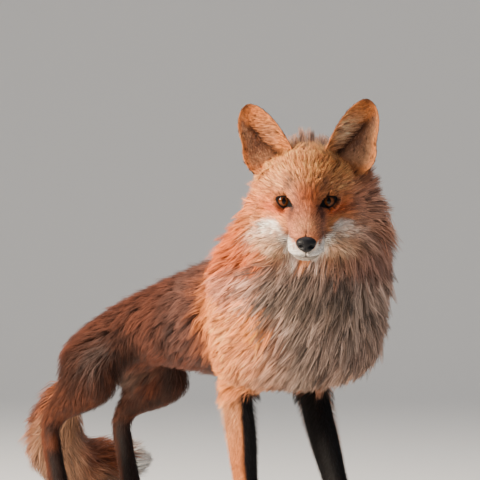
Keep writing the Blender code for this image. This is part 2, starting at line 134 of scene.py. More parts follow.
PATCH = 0.003  # side of a tuft's patch in its piece's UV map
NIB = 0.9995  # the ear's rise stops just short of its tip
ROOT_SINK = 0.0006  # how deep a tuft's root lies in the skin
FLOOR_GAP = 0.0006  # no tuft comes nearer to the floor
SMALL_LOCK = 4  # tufts in a small lock; a coat's own locks are larger
PALE_TIPS, DARK_TIPS = 0.28, 0.2  # shares of the tufts

THINNING = 1

rng = np.random.default_rng(11)


# ---- Small tools ----
def unit(vectors):
    length = np.linalg.norm(vectors, axis=-1, keepdims=True)
    return vectors / np.maximum(length, 1e-12)


def ramp(low, high, x):
    """0 below low, 1 above high, smooth between. Low may be the larger of the two."""
    t = np.clip((x - low) / (high - low), 0, 1)
    return t * t * (3 - 2 * t)


def hump(x, centre, width):
    return np.exp(-(((x - centre) / width) ** 2))


def spot(x, z, at, size):
    return np.exp(-(((x - at[0]) / size[0]) ** 2) - ((z - at[1]) / size[1]) ** 2)


def dot(a, b):
    return np.sum(a * b, axis=-1, keepdims=True)


def turned(x, y, angle):
    """Two coordinates after a turn from the first axis towards the second."""
    return x * cos(angle) - y * sin(angle), x * sin(angle) + y * cos(angle)


def mix(a, b, share):
    share = np.asarray(share)
    if share.ndim == 1 and max(np.ndim(a), np.ndim(b)) == 2:
        share = share[:, None]
    return a + (b - a) * share


def layered(colour, *layers):
    """A colour, or one for each point, with others laid over it in turn, each by its share at each point."""
    for over, share in layers:
        colour = colour + (over - colour) * np.reshape(share, (-1, 1))
    return colour


def paint(red, green, blue):
    """A colour as seen, 0 to 255, as linear light."""
    c = np.array((red, green, blue)) / 255
    return np.where(c < 0.04045, c / 12.92, ((c + 0.055) / 1.055) ** 2.4)


def noise(points, size, seed):
    """Smooth random values from 0 to 1 that change over this distance."""
    p = points / size + 31.7 * seed
    cell = np.floor(p).astype(np.int64)
    f = p - cell
    f = f * f * (3 - 2 * f)
    total = np.zeros(len(points))
    for corner in range(8):
        step = np.array((corner & 1, corner >> 1 & 1, corner >> 2 & 1))
        at = cell + step
        h = (at[:, 0] * 374761393 + at[:, 1] * 668265263 + at[:, 2] * 974634777 + seed * 69069) & 0xFFFFFFFF
        h = ((h ^ (h >> 13)) * 1274126177) & 0xFFFFFFFF
        value = ((h ^ (h >> 16)) & 0xFFFF) / 65535
        total += np.prod(np.where(step == 1, f, 1 - f), axis=1) * value
    return total


# ---- Axes ----
def middle(node):
    low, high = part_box(node)
    return np.array((low + high) / 2)


ACROSS = unit(middle("eye_left") - middle("eye_right"))
BACKWARD = np.array((-ACROSS[1], ACROSS[0], 0))
UP = np.array((0, 0, 1.0))
FACE_ORIGIN = (middle("eye_left") + middle("eye_right")) / 2 + EYE_FORWARD * BACKWARD
FACE_AXES = np.array((ACROSS, BACKWARD, UP))
BODY_SHIFT = FACE_ORIGIN - EYE_LINE


def to_face(points):
    return (points - FACE_ORIGIN) @ FACE_AXES.T


def from_face(points):
    return FACE_ORIGIN + np.asarray(points) @ FACE_AXES


def to_head(face):
    return np.stack((face[:, 0], *turned(face[:, 1], face[:, 2], -HEAD_NOD)), axis=1)


def from_head(points):
    x, y, z = np.moveaxis(np.asarray(points, float), -1, 0)
    return from_face(np.stack((x, *turned(y, z, HEAD_NOD)), axis=-1))


# ---- Meshes ----
def tri(a, b, c):
    """Triangles from arrays of their corners' numbers."""
    return np.stack((a, b, c), axis=-1).reshape(-1, 3)


def tube_faces(grid):
    """The triangles of a closed tube from its points' numbers, one row for each ring."""
    after = np.roll(grid, -1, axis=-1)
    a, b, c, d = grid[..., :-1, :], after[..., :-1, :], after[..., 1:, :], grid[..., 1:, :]
    return [tri(a, b, c), tri(a, c, d)]


def mesh_arrays(mesh):
    points = np.empty(len(mesh.vertices) * 3)
    mesh.vertices.foreach_get("co", points)
    mesh.calc_loop_triangles()
    triangles = np.empty(len(mesh.loop_triangles) * 3, np.int32)
    mesh.loop_triangles.foreach_get("vertices", triangles)
    return points.reshape(-1, 3), triangles.reshape(-1, 3)


def mesh_object(name, points, triangles, colours=None, normals=None, uv=None, smooth=True):
    """A mesh piece from arrays. Colours and normals are one per point, uv one per point too."""
    mesh = bpy.data.meshes.new(name)
    mesh.vertices.add(len(points))
    mesh.vertices.foreach_set("co", np.ascontiguousarray(points, np.float32).ravel())
    mesh.loops.add(triangles.size)
    mesh.loops.foreach_set("vertex_index", np.ascontiguousarray(triangles, np.int32).ravel())
    mesh.polygons.add(len(triangles))
    mesh.polygons.foreach_set("loop_start", np.arange(0, triangles.size, 3, dtype=np.int32))
    mesh.polygons.foreach_set("use_smooth", np.full(len(triangles), smooth))
    mesh.update(calc_edges=True)
    if colours is not None:
        layer = mesh.color_attributes.new("Coat", "FLOAT_COLOR", "POINT")
        rgba = np.ones((len(points), 4), np.float32)
        rgba[:, :3] = colours
        layer.data.foreach_set("color", rgba.ravel())
    if uv is not None:
        layer = mesh.uv_layers.new(name="OFBake")
        layer.data.foreach_set("uv", np.ascontiguousarray(uv[triangles.ravel()], np.float32).ravel())
    if normals is not None:
        mesh.normals_split_custom_set_from_vertices(normals.astype(np.float32))
    obj = bpy.data.objects.new(name, mesh)
    bpy.context.scene.collection.objects.link(obj)
    return obj


def edges_of(triangles):
    pairs = np.concatenate((triangles[:, :2], triangles[:, 1:], triangles[:, ::2]))
    return np.unique(np.sort(pairs, axis=1), axis=0)


def relaxed(values, edges, rounds, share=0.5, where=None):
    """Values averaged over their neighbours, so many times over."""
    count = len(values)
    flat = values.reshape(count, -1).astype(float)
    degree = np.maximum(np.bincount(edges.ravel(), minlength=count), 1)
    part = share if where is None else share * where[:, None]
    for _ in range(rounds):
        mean = np.empty_like(flat)
        for c in range(flat.shape[1]):
            total = np.bincount(edges[:, 0], flat[edges[:, 1], c], count)
            total += np.bincount(edges[:, 1], flat[edges[:, 0], c], count)
            mean[:, c] = total / degree
        flat = flat + part * (mean - flat)
    return flat.reshape(values.shape)


def normals_of(points, triangles):
    a, b, c = (points[triangles[:, k]] for k in range(3))
    face = np.cross(b - a, c - a)
    total = np.empty_like(points)
    for axis in range(3):
        column = np.zeros(len(points))
        for k in range(3):
            column += np.bincount(triangles[:, k], face[:, axis], len(points))
        total[:, axis] = column
    return unit(total)


def fused_flesh():
    """The flesh nodes as one closed surface at the tips of the coat."""
    bm = bmesh.new()
    for name in FLESH:
        bm.from_mesh(frame["nodes"][name].data)
    bmesh.ops.remove_doubles(bm, verts=bm.verts, dist=1e-5)
    bm.normal_update()
    for vertex in bm.verts:
        vertex.co += vertex.normal * CLOSE_GAP
    for side in SIDES:
        plug = Matrix.Translation(middle(f"eye_{side}"))
        bmesh.ops.create_uvsphere(bm, u_segments=24, v_segments=16, radius=EYE_RADIUS * 1.12, matrix=plug)
    mesh = bpy.data.meshes.new("flesh")
    bm.to_mesh(mesh)
    bm.free()
    helper = bpy.data.objects.new("flesh", mesh)
    bpy.context.scene.collection.objects.link(helper)
    fuse = helper.modifiers.new("fuse", "REMESH")
    fuse.mode = "VOXEL"
    fuse.voxel_size = SKIN_VOXEL
    shaped = helper.evaluated_get(bpy.context.evaluated_depsgraph_get())
    points, triangles = mesh_arrays(bpy.data.meshes.new_from_object(shaped))
    bpy.data.objects.remove(helper)
    return points, triangles


def nearest_nodes(points):
    """The code of the flesh node that each point is nearest to."""
    corners, faces, owners = [], [], []
    for name in FLESH:
        node_points, node_faces = mesh_arrays(frame["nodes"][name].data)
        faces += (node_faces + len(corners)).tolist()
        corners += node_points.tolist()
        owners += [CODE[name]] * len(node_faces)
    tree = BVHTree.FromPolygons(corners, faces)
    return np.array([owners[tree.find_nearest(Vector(p))[2]] for p in points])


def refined(points, triangles, chosen, codes):
    """The chosen triangles split in four, and their neighbours split to fit."""
    sides = np.stack((triangles, np.roll(triangles, -1, axis=1)), axis=2).reshape(-1, 2)
    edges, number = np.unique(np.sort(sides, axis=1), axis=0, return_inverse=True)
    number = number.reshape(-1, 3)
    split = np.zeros(len(edges), bool)
    split[number[chosen]] = True
    made = np.full(len(edges), -1)
    made[split] = len(points) + np.arange(split.sum())
    halves = made[number]
    how_many = (halves >= 0).sum(axis=1)
    result = [triangles[how_many == 0]]
    for turn in range(3):
        a, b, c = np.roll(triangles, -turn, axis=1).T
        p, q, r = np.roll(halves, -turn, axis=1).T
        one = (how_many == 1) & (p >= 0)
        result += [tri(a, p, c)[one], tri(p, b, c)[one]]
        two = (how_many == 2) & (r < 0)
        result += [tri(p, b, q)[two], tri(a, p, q)[two], tri(a, q, c)[two]]
    a, b, c = triangles[how_many == 3].T
    p, q, r = halves[how_many == 3].T
    result += [tri(*t) for t in ((a, p, r), (p, b, q), (r, q, c), (p, q, r))]
    points = np.concatenate((points, points[edges[split]].mean(axis=1)))
    codes = np.concatenate((codes, codes[edges[split]].max(axis=1)))
    return points, np.concatenate(result), codes


# ---- The skin ----
def is_part(codes, *names):
    return np.isin(codes, [CODE[n] for n in FLESH if n.split("_")[0] in names])


def tail_place(points):
    """How far along the tail each point lies, 0 to 1, and the tail's direction and middle there."""
    steps = np.linalg.norm(np.diff(TAIL_LINE, axis=0), axis=1)
    length = np.concatenate(((0,), np.cumsum(steps)))
    fine = np.linspace(0, length[-1], 120)
    middle_line = np.stack([np.interp(fine, length, TAIL_LINE[:, k]) for k in range(3)], axis=1)
    heading = unit(np.gradient(middle_line, axis=0))
    found = nearest(middle_line, points - BODY_SHIFT)
    return found / (len(fine) - 1), heading[found], middle_line[found]


def coat_depth(points, codes):
    """How deep the coat is over the skin at each point."""
    face = to_face(points)
    head = to_head(face)
    x, z, high = abs(face[:, 0]), face[:, 2], points[:, 2]
    on_head = 0.0016 + 0.0045 * ramp(-0.045, 0.03, head[:, 1])
    on_head += 0.01 * ramp(0.027, 0.06, x) * ramp(0.02, -0.01, z)
    on_head += 0.007 * ramp(-0.03, -0.05, head[:, 2]) * ramp(-0.05, -0.01, head[:, 1])
    on_head += 0.006 * ramp(0.03, 0.06, head[:, 1])
    depths = {
        "head": on_head,
        "neck": 0.018,
        "trunk": 0.013,
        "tail": 0.022 * ramp(1.08, 0.78, tail_place(points)[0]) + 0.003,
        "foreleg": 0.0035 + 0.006 * ramp(0.11, 0.18, high),
        "hindleg": 0.0032 + 0.007 * ramp(0.12, 0.21, high),
        "forepaw": 0.0018 * ramp(0, 0.007, high),
        "hindpaw": 0.0018 * ramp(0, 0.007, high),
    }
    depth = np.zeros(len(points))
    for part, value in depths.items():
        depth = np.where(is_part(codes, part), value, depth)
    return depth


def around_eye(face, side):
    """Each point's distance from an eye's centre, and its gap to the edge of the lids' opening."""
    u, v, back = side * face[:, 0] - EYE_SPACING / 2, face[:, 2], face[:, 1] + EYE_FORWARD
    along, over = turned(u - LID_MIDDLE[0], v - LID_MIDDLE[1], -LID_TILT)
    tall = np.where(over > 0, LID_RISE, LID_DROP)
    slope = 2 * tall * along / LID_REACH**2
    gap = (np.abs(over) - tall * (1 - (along / LID_REACH) ** 2)) / np.sqrt(1 + slope**2)
    return np.sqrt(u**2 + v**2 + back**2), gap + 0.02 * ramp(0, 0.004, back)


def lid_gap(face):
    """The gap to the edge of the nearer eye's opening. It is negative inside the opening."""
    return np.minimum(around_eye(face, -1)[1], around_eye(face, 1)[1])


def mouth_seam(head):
    """How high the line of the mouth runs, in head axes."""
    back = head[:, 1]
    return -0.0352 - 0.0025 * ramp(-0.066, -0.05, back) + 0.3 * np.maximum(back + 0.04, 0) ** 1.5


def lowered_brow(points, edges):
    """The skull narrows between the ears, so that their roots show from the front."""
    face = to_face(points)
    x, y, z = face.T
    across = (0, 0.012, 0.018, 0.026, 0.033, 0.046, 0.06)
    highest = (0.066, 0.065, 0.062, 0.056, 0.05, 0.042, 0.034)
    over = np.maximum(z - np.interp(np.abs(x), across, highest), 0) * ramp(0.078, 0.034, y)
    face[:, 2] = z - 0.95 * over
    near = ramp(0.01, 0.02, z) * ramp(0.095, 0.075, y) * ramp(0, 0.012, y)
    return relaxed(from_face(face), edges, 30, 0.5, near)


def paw_axes(name):
    """Where a paw's toes spring from, on the floor, and how far the paw is turned."""
    low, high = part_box(name)
    turn = PAW_TURN[name[:4]] * (1 if "left" in name else -1)
    return np.array(((low.x + high.x) / 2, low.y + 0.0085, 0)), turn


def toe_grooves(points):
    """1 at the bottom of the grooves between the toes, 0 elsewhere, and 1 all over the front of the paws."""
    groove, front = np.zeros(len(points)), np.zeros(len(points))
    for name in PAWS:
        origin, turn = paw_axes(name)
        x, y, z = (points - origin).T
        x, y = turned(x, y, -turn)
        near = (np.abs(x) < 0.026) & (y > -0.03) & (z < 0.03)
        for gap_x in TOE_GAPS:
            cut = hump(x, gap_x * (1 - 12 * y), 0.0015) * ramp(0.02, 0.004, y) * ramp(0.026, 0.016, z)
            groove = np.maximum(groove, cut * near)
        front = np.maximum(front, near * (y < 0.021))
    return groove, front


def sculpted(points, triangles, edges):
    """The line of the mouth, the toes, and lids around the eyes."""
    normals = normals_of(points, triangles)
    head = to_head(to_face(points))
    seam = mouth_seam(head)
    reach = ramp(-0.014, -0.024, head[:, 1]) * ramp(-0.06, -0.04, head[:, 2])
    move = -0.0022 * hump(head[:, 2], seam, 0.0012) + 0.0008 * hump(head[:, 2], seam + 0.0036, 0.0024)
    points = points + normals * (move * reach)[:, None]
    philtrum = ramp(-0.0355, -0.033, head[:, 2]) * ramp(-0.055, -0.062, head[:, 1])
    points = points - normals * (0.001 * hump(head[:, 0], 0, 0.0008) * philtrum)[:, None]
    groove, front = toe_grooves(points)
    points = points + normals * (0.0004 * front - 0.0034 * groove)[:, None]
    points[:, 2] = np.maximum(points[:, 2], 0)
    for side in SIDES.values():
        centre = from_face((side * EYE_SPACING / 2, -EYE_FORWARD, 0))
        # the skin is pushed out over the ball, then sunk in the opening while the lids around it settle
        for turn in range(24):
            far, gap = around_eye(to_face(points), side)
            near = far < EYE_ZONE
            wanted = np.maximum(far, EYE_RADIUS + LID_COVER)
            wanted = np.where(gap < 0, EYE_RADIUS - LID_SINK, wanted) if turn else wanted
            points = centre + (points - centre) * np.where(near, wanted / far, 1)[:, None]
            if turn:
                points = relaxed(points, edges, 2, 0.5, (near & (gap > 0.0008)).astype(float))
    return points


def finer_where(points, triangles, codes, zone):
    """Whether each triangle is split for this zone. Each zone lies within the one before."""
    centres = points[triangles].mean(axis=1)
    gap = lid_gap(to_face(centres))
    if zone == "lids":
        return np.abs(gap) < 0.0012
    x, y, z = to_head(to_face(centres)).T
    groove, front = toe_grooves(centres)
    if zone == "details":
        return (gap < 0.006) | (groove > 0.05) | ((y < -0.04) & (abs(x) < 0.03) & (z > -0.055))
    on_face = (y < 0.004) & (abs(x) < 0.046) & (z > -0.055) & is_part(codes[triangles[:, 0]], "head")
    return on_face | (front > 0)


def build_skin():
    """Points, triangles, node codes and coat depth of the skin without the ears.

    It is the flesh set back in small steps by the coat's depth, made finer in zones and then sculpted.
    """
    points, triangles = fused_flesh()
    edges = edges_of(triangles)
    points = lowered_brow(relaxed(points, edges, 4), edges)
    codes = nearest_nodes(points)
    thigh = relaxed(is_part(codes, "hindleg").astype(float), edges, 12) * ramp(0.1, 0.14, points[:, 2])
    points = relaxed(points, edges, 60, 0.5, thigh)
    depth = relaxed(coat_depth(points, codes), edges, 40)
    soft = relaxed(points, edges, 12) - points
    points = points + soft * ramp(0.006, 0.012, depth)[:, None]
    steps = 6
    for _ in range(steps):
        points = points - normals_of(points, triangles) * (depth / steps)[:, None]
        points = relaxed(points, edges, 1, 0.25, ramp(0.002, 0.008, depth))
    for zone in ("face and paws", "details", "lids"):
        chosen = finer_where(points, triangles, codes, zone)
        points, triangles, codes = refined(points, triangles, chosen, codes)
        edges = edges_of(triangles)
        head = to_head(to_face(points))
        points = relaxed(points, edges, 3, 0.5, ramp(0.008, -0.004, head[:, 1]) * is_part(codes, "head"))
    points = sculpted(points, triangles, edges)
    return points, triangles, codes, relaxed(coat_depth(points, codes), edges, 20)


def ear_point(side, spread, lean, yaw, wide, tall, u, rise):
    """A place on the middle sheet of an ear, in face axes."""
    up = np.maximum(rise, 0)
    inner = ramp(-0.2, 0.4, -side * u)
    half = wide * EAR_HALF_WIDTH * mix((1 - up**3.4) ** 0.54, (1 - up**2.3) ** 0.64, inner)
    half = half * (1 + 2 * np.minimum(rise, 0)) + 0.0008
    cup = 0.02 * (1 - up) ** 0.75 + 0.0015
    flare = 0.2 * np.clip(side * u, 0, 1) * ramp(0.5, 0.2, rise) * ramp(-0.16, 0.16, rise)
    x, y, z = u * half * (1 + flare), cup * (1 - np.abs(u) ** 2.2), tall * EAR_HEIGHT * rise
    x, y = turned(x, y, side * yaw)
    y, z = turned(y, z, radians(-4))
    x, z = turned(x, z, -side * lean)
    return np.stack((x + side * spread, y + EAR_ROOT[0], z + EAR_ROOT[1]), axis=-1)


def build_ear(side, *shape):
    """A thin cupped sheet. A point's place is how far across (-1 inner, 1 outer), its rise, and 1 behind."""
    columns, rows = 27, 35
    u = np.sin(np.linspace(-1, 1, columns) * pi / 2 * 0.98) / sin(pi / 2 * 0.98)
    rise = -0.22 + 1.22 * (1 - (1 - np.linspace(0, 1, rows)) ** 1.3)
    u, rise = np.meshgrid(u, rise)
    sheet = ear_point(side, *shape, u, np.minimum(rise, NIB))
    step_u, step_r = np.gradient(sheet, axis=1), np.gradient(sheet, axis=0)
    thick = unit(np.cross(step_u, step_r)) * ((EAR_SHEET / 2) * (1 - 0.5 * np.abs(u) ** 4)[..., None])
    points = from_face(np.concatenate((sheet + thick, sheet - thick)).reshape(-1, 3))
    count = rise.size
    grid = np.arange(count).reshape(rise.shape)
    a, b, c, d = grid[:-1, :-1], grid[:-1, 1:], grid[1:, 1:], grid[1:, :-1]
    rim = np.concatenate((grid[0], grid[1:, -1], grid[-1, -2::-1], grid[-2:0:-1, 0]))
    after = np.roll(rim, -1)
    faces = [tri(a, b, c), tri(a, c, d), tri(a, c, b) + count, tri(a, d, c) + count]
    faces += [tri(after, rim, rim + count), tri(after, rim + count, after + count)]
    across, rise = np.tile((side * u).ravel(), 2), np.tile(rise.ravel(), 2)
    place = np.stack((across, rise, np.repeat((0.0, 1.0), count)), axis=1)
    tip, outer = (np.tile(unit(way).reshape(-1, 3), (2, 1)) @ FACE_AXES for way in (step_r, side * step_u))
    return points, np.concatenate(faces), place, tip, outer


# ---- Markings: the same for skin and coat ----
TAN = paint(206, 130, 80)
ORANGE = paint(220, 108, 40)
SALMON = paint(240, 160, 108)
CREAM = paint(250, 232, 218)
BUFF = paint(190, 152, 118)
ASH = paint(186, 154, 128)
BROWN = paint(77, 41, 28)
DARK_BROWN = paint(62, 36, 26)
SOOT = paint(20, 17, 18)
LID_RIM = paint(9, 7, 7)

# The upper edge of the white of the face: how high it runs at each distance from the middle.
WHITE_EDGE_ACROSS = (0, 0.009, 0.013, 0.0195, 0.024, 0.03, 0.041, 0.052, 0.062)
WHITE_EDGE_HEIGHT = (-0.053, -0.051, -0.043, -0.036, -0.03, -0.0225, -0.021, -0.027, -0.038)


def head_markings(face):
    """Tan, with warm cheeks, dark eye corners and tear lines, a white muzzle and a dark mouth line."""
    head = to_head(face)
    x, z = np.abs(face[:, 0]), face[:, 2]
    snout = ramp(-0.014, -0.024, head[:, 1])
    tear = hump(x, 0.014 + 0.18 * np.clip(-0.01 - z, 0, 0.03), 0.003)
    tear = 0.75 * tear * ramp(-0.004, -0.01, z) * ramp(-0.03, -0.018, z)
    tear = np.maximum(tear, 0.65 * spot(x, z, (0.0175, -0.038), (0.0035, 0.006)))
    edge = np.interp(x, WHITE_EDGE_ACROSS, WHITE_EDGE_HEIGHT)
    below = ramp(0.016, 0.024, x) * ramp(edge - 0.006, edge - 0.018, z)
    white = ramp(edge + 0.0015, edge - 0.003, z) * ramp(0.06, 0.034, x)
    white = white * (1 - 0.55 * noise(from_face(face), 0.0045, 14) * ramp(0.018, 0.026, x))
    mouth = mouth_seam(head)
    chin = ramp(mouth + 0.001, mouth - 0.002, head[:, 2]) * ramp(0.03, 0.022, x)
    chin = chin * ramp(-0.01, -0.02, head[:, 1])
    # painted shade under the chin, between the chin and the ruff
    throat = ramp(0.042, 0.028, x) * ramp(-0.057, -0.063, z) * ramp(-0.048, -0.038, head[:, 1])
    philtrum = ramp(-0.0355, -0.033, head[:, 2]) * ramp(-0.056, -0.062, head[:, 1])
    line = np.maximum(hump(head[:, 2], mouth, 0.0015) * snout, hump(head[:, 0], 0, 0.0009) * philtrum)
    behind_ears = ramp(0.034, 0.066, face[:, 1]) * ramp(0.03, 0.05, z) * ramp(0.06, 0.03, x)
    return layered(
        TAN,
        (paint(236, 144, 76), 0.6 * ramp(0, 0.04, z)),
        (paint(186, 112, 78), ramp(-0.016, -0.03, head[:, 1])),
        (ORANGE, 0.7 * ramp(0.04, 0.06, x) * ramp(-0.02, 0.02, z)),
        (paint(214, 118, 66), 0.8 * spot(x, z, (0.04, 0.006), (0.016, 0.016))),
        (SALMON, 0.5 * spot(x, z, (0.034, 0.015), (0.01, 0.005))),
        (paint(158, 62, 18), 0.95 * spot(x, z, (0.027, -0.01), (0.017, 0.01))),
        (paint(150, 70, 30), 0.9 * spot(x, z, (0.003, 0.001), (0.014, 0.013))),
        (DARK_BROWN, 0.8 * spot(x, z, (0.0165, 0.0145), (0.0034, 0.007))),
        (SOOT, 0.85 * spot(x, z, (0.0135, -0.009), (0.003, 0.004))),
        (paint(66, 40, 34), tear),
        (paint(228, 150, 100), 0.5 * spot(x, z, (0.004, -0.03), (0.007, 0.007))),
        (layered(CREAM, (ASH, below)), white),
        (paint(158, 128, 118), 0.8 * behind_ears),
        # painted shade in the hollow under the left ear
        (paint(112, 74, 56), 0.7 * spot(face[:, 0], z, (0.062, 0.028), (0.011, 0.013))),
        # painted shade: greyer low on the left side of the face
        (paint(152, 120, 108), 0.72 * ramp(0.03, 0.06, face[:, 0]) * ramp(0.03, 0, z)),
        (paint(196, 178, 162), 0.97 * chin),
        # painted shade under the chin
        (paint(96, 76, 66), 0.85 * throat),
        (SOOT, 0.95 * line),
        (paint(6, 5, 5), ramp(0.0019, 0.0011, lid_gap(face))),
    )


def tail_markings(points, normals, wander):
    """Brown over buff, with a dark spot near the root and a white tip."""
    top, along = normals[:, 2], tail_place(points)[0]
    return layered(
        paint(128, 68, 40),
        (BUFF, 0.5 * ramp(0.2, -0.8, top)),
        (DARK_BROWN, 0.35 * noise(points, 0.012, 3)),
        (SOOT, 0.6 * hump(along, 0.22, 0.06) * ramp(0.3, 0.8, top)),
        (CREAM, ramp(0.8, 0.86, along + 1.5 * wander)),
    )


def leg_markings(z, normals, inner, wander):
    """The colours of the forelegs and the hind legs, and where black runs high up between the forelegs."""
    to_front = normals @ unit(np.array((0.35, -1.0, 0)))
    between_legs = 0.74 * inner - 0.67 * normals[:, 1]
    high_black = ramp(0.232, 0.208, z + wander) * ramp(-0.12, 0.12, between_legs)
    black = np.maximum(high_black, ramp(0.12, 0.085, z + 2 * wander) * ramp(0.1, 0.7, to_front))
    black = np.maximum(black, ramp(0.075, 0.045, z + wander))
    fore = layered(SALMON, (paint(206, 118, 66), ramp(0.19, 0.08, z)), (SOOT, black))
    black = ramp(0.13, 0.1, z + 2 * wander) * ramp(-0.2, 0.4, -normals[:, 1])
    black = np.maximum(black, ramp(0.06, 0.035, z + wander))
    hind = layered(
        paint(58, 30, 19),
        (paint(96, 50, 30), ramp(0.2, 0.12, z)),
        # painted shade: darker on the inner side of each hind leg
        (DARK_BROWN, 0.8 * ramp(0, 0.6, inner)),
        (SOOT, 0.9 * black),
    )
    return fore, hind, high_black


def body_markings(points, normals, edges, blend):
    """The colour of the coat at each point of the skin."""
    face = to_face(points)
    x, y, z = (points - BODY_SHIFT).T
    face_x, face_z = face[:, 0], face[:, 2]
    top, forward = normals[:, 2], normals @ -BACKWARD
    wander = (noise(points, 0.03, 1) - 0.5) * 0.03
    ragged = y + 1.5 * wander + (noise(points, 0.011, 15) - 0.5) * 0.03
    shoulder = ramp(np.where(x > 0, 0.135, 0.072), -0.004, ragged) * ramp(0.36, 0.3, z)
    # the trunk's own reddish brown, darkened further by painted shade
    trunk = layered(
        BROWN,
        (paint(80, 40, 26), 0.6 * ramp(0.5, 0.95, top)),
        (paint(88, 66, 60), 0.6 * hump(y, 0.075, 0.04) * ramp(0.18, 0.26, z)),
        (paint(112, 50, 20), 0.6 * ramp(0.24, 0.19, z + wander) * ramp(0.06, 0.1, y)),
        # underside: its own grey, darkened by painted shade under the body
        (paint(96, 74, 62), 0.85 * ramp(-0.35, -0.85, top) * ramp(0.215, 0.19, z)),
        (paint(116, 56, 29), 0.75 * ramp(np.where(x > 0, 0.2, 0.12), 0.02, ragged)),
        (paint(248, 142, 70), 0.9 * shoulder),
    )
    # painted shadow: dark lines between the clumps of hair on the right side of the neck
    lines = ramp(0.6, 0.8, noise(points, 0.008, 12)) * ramp(-0.03, -0.05, face_x)
    neck = layered(
        ORANGE,
        (SALMON, 0.3 * noise(points, 0.025, 5)),
        # painted warm light: deeper orange low on the right side of the neck
        (paint(190, 84, 30), 0.8 * ramp(-0.02, -0.045, face_x) * ramp(-0.155, -0.115, face_z)),
        # painted shade: greyer on the left side of the neck
        (paint(116, 98, 92), 0.85 * ramp(0.01, 0.05, face_x) * ramp(0, -0.03, face_z)),
        # painted shadow lines between the clumps
        (BROWN, 0.6 * lines),
        (paint(146, 104, 82), 0.5 * ramp(0.45, 1, top) * ramp(0.34, 0.42, z + wander)),
    )
    on_neck = np.clip(blend["neck"] + blend["head"] + ramp(0.06, 0, ragged) * (z > 0.3), 0, 1)
    # dark streaks in the grey bib: partly dark underfur, partly painted shade between the locks
    streaks = noise(points, 0.022, 8) * ramp(0.34, 0.24, z)
    shadow = ramp(0.04, 0.026, abs(face_x)) * ramp(-0.1, -0.082, face_z)
    ashen = layered(paint(168, 148, 134), (paint(58, 50, 46), streaks), (paint(70, 54, 46), 0.8 * shadow))
    bib = hump(face_x, 0.01, 0.062) ** 0.7 * ramp(-0.058, -0.074, face_z) * ramp(-0.15, 0.25, forward)
    golden = spot(face_x, face_z, (-0.043, -0.125), (0.014, 0.026)) * ramp(-0.15, 0.25, forward)
    # painted shade: greyer low on the left of the neck and chest
    left_side_shade = ramp(0.045, 0.075, face_x) * ramp(0.03, -0.02, y) * ramp(-0.08, -0.12, face_z)
    # painted shade under the chin, between the chin and the ruff
    throat = ramp(0.056, 0.034, np.abs(face_x - 0.008)) * ramp(-0.05, -0.059, face_z)
    throat = throat * ramp(-0.057, -0.047, to_head(face)[:, 1]) * ramp(-0.3, 0.1, forward)
    throat = throat * ramp(-0.118, -0.098, face_z) * ramp(0.02, -0.01, y)
    fore, hind, high_black = leg_markings(z, normals, -np.sign(x) * normals[:, 0], wander)
    return layered(
        trunk,
        (neck, relaxed(on_neck, edges, 30)),
        (ashen, 0.95 * bib * ramp(0.015, -0.02, y)),
        (paint(232, 128, 40), 0.85 * golden),
        (paint(140, 112, 98), 0.6 * left_side_shade),
        (head_markings(face), blend["head"]),
        # painted shade under the chin, with paler streaks
        (layered(paint(96, 80, 72), (ASH, 0.5 * streaks)), 0.95 * throat),
        (tail_markings(points, normals, wander), blend["tail"]),
        (fore, blend["foreleg"]),
        (SOOT, high_black * ramp(0.02, 0.25, blend["foreleg"])),
        (hind, blend["hindleg"]),
    )


def ear_markings(place, pale):
    """Pale hair inside, a dark fold, a tan edge and a black back."""
    across, rise, behind = place.T
    slit = EAR_SLIT + rise
    lining = ramp(slit - 0.05, slit - 0.5, across) * ramp(0.85, 0.3, rise)
    dark = np.maximum(hump(across, slit, 0.26), spot(across, rise, (0.16, 0.4), (0.24, 0.2)))
    dark = dark * ramp(0.82, 0.62, rise) * ramp(-0.1, 0.02, rise)
    edge = ramp(0.8, 0.95, np.abs(across))
    back = layered(paint(170, 92, 50), (SOOT, ramp(0.16, 0.4, rise)), (paint(110, 62, 38), 0.25 * edge))
    return layered(
        paint(204, 118, 62),
        (paint(134, 90, 70), ramp(slit, slit + 0.3, across) * ramp(0.95, 0.7, rise)),
        # pale lining hair; by pale, the left ear's is paler with painted light falling into it
        (mix(paint(190, 132, 94), paint(240, 196, 158), pale), (0.7 + 0.25 * pale) * lining),
        (paint(222, 116, 36), 0.7 * spot(across, rise, (-0.8, 0.1), (0.35, 0.2))),
        (paint(206, 148, 108), 0.65 * ramp(0.4, 0.8, across) * ramp(0.85, 0.6, rise)),
        (paint(218, 160, 118), 0.65 * spot(across, rise, (0.55, 0.1), (0.4, 0.13))),
        (paint(26, 15, 12), 0.97 * dark),
        (paint(226, 134, 74), 0.8 * edge),
        (paint(120, 74, 50), 0.8 * ramp(0.93, 0.985, rise)),
        (back, behind),
    )


# ---- How the hair lies ----
def ear_root(face):
    """1 where the brow meets the root of an ear, fading out around it."""
    x, y, z = np.abs(face[:, 0]), face[:, 1], face[:, 2]
    along = np.clip((x - 0.028) / 0.034, 0, 1)
    across, up = x - 0.028 - 0.034 * along, z - 0.046 + 0.012 * along
    return ramp(0.017, 0.005, np.sqrt(across**2 + ((y - 0.032) * 0.4) ** 2 + up**2))


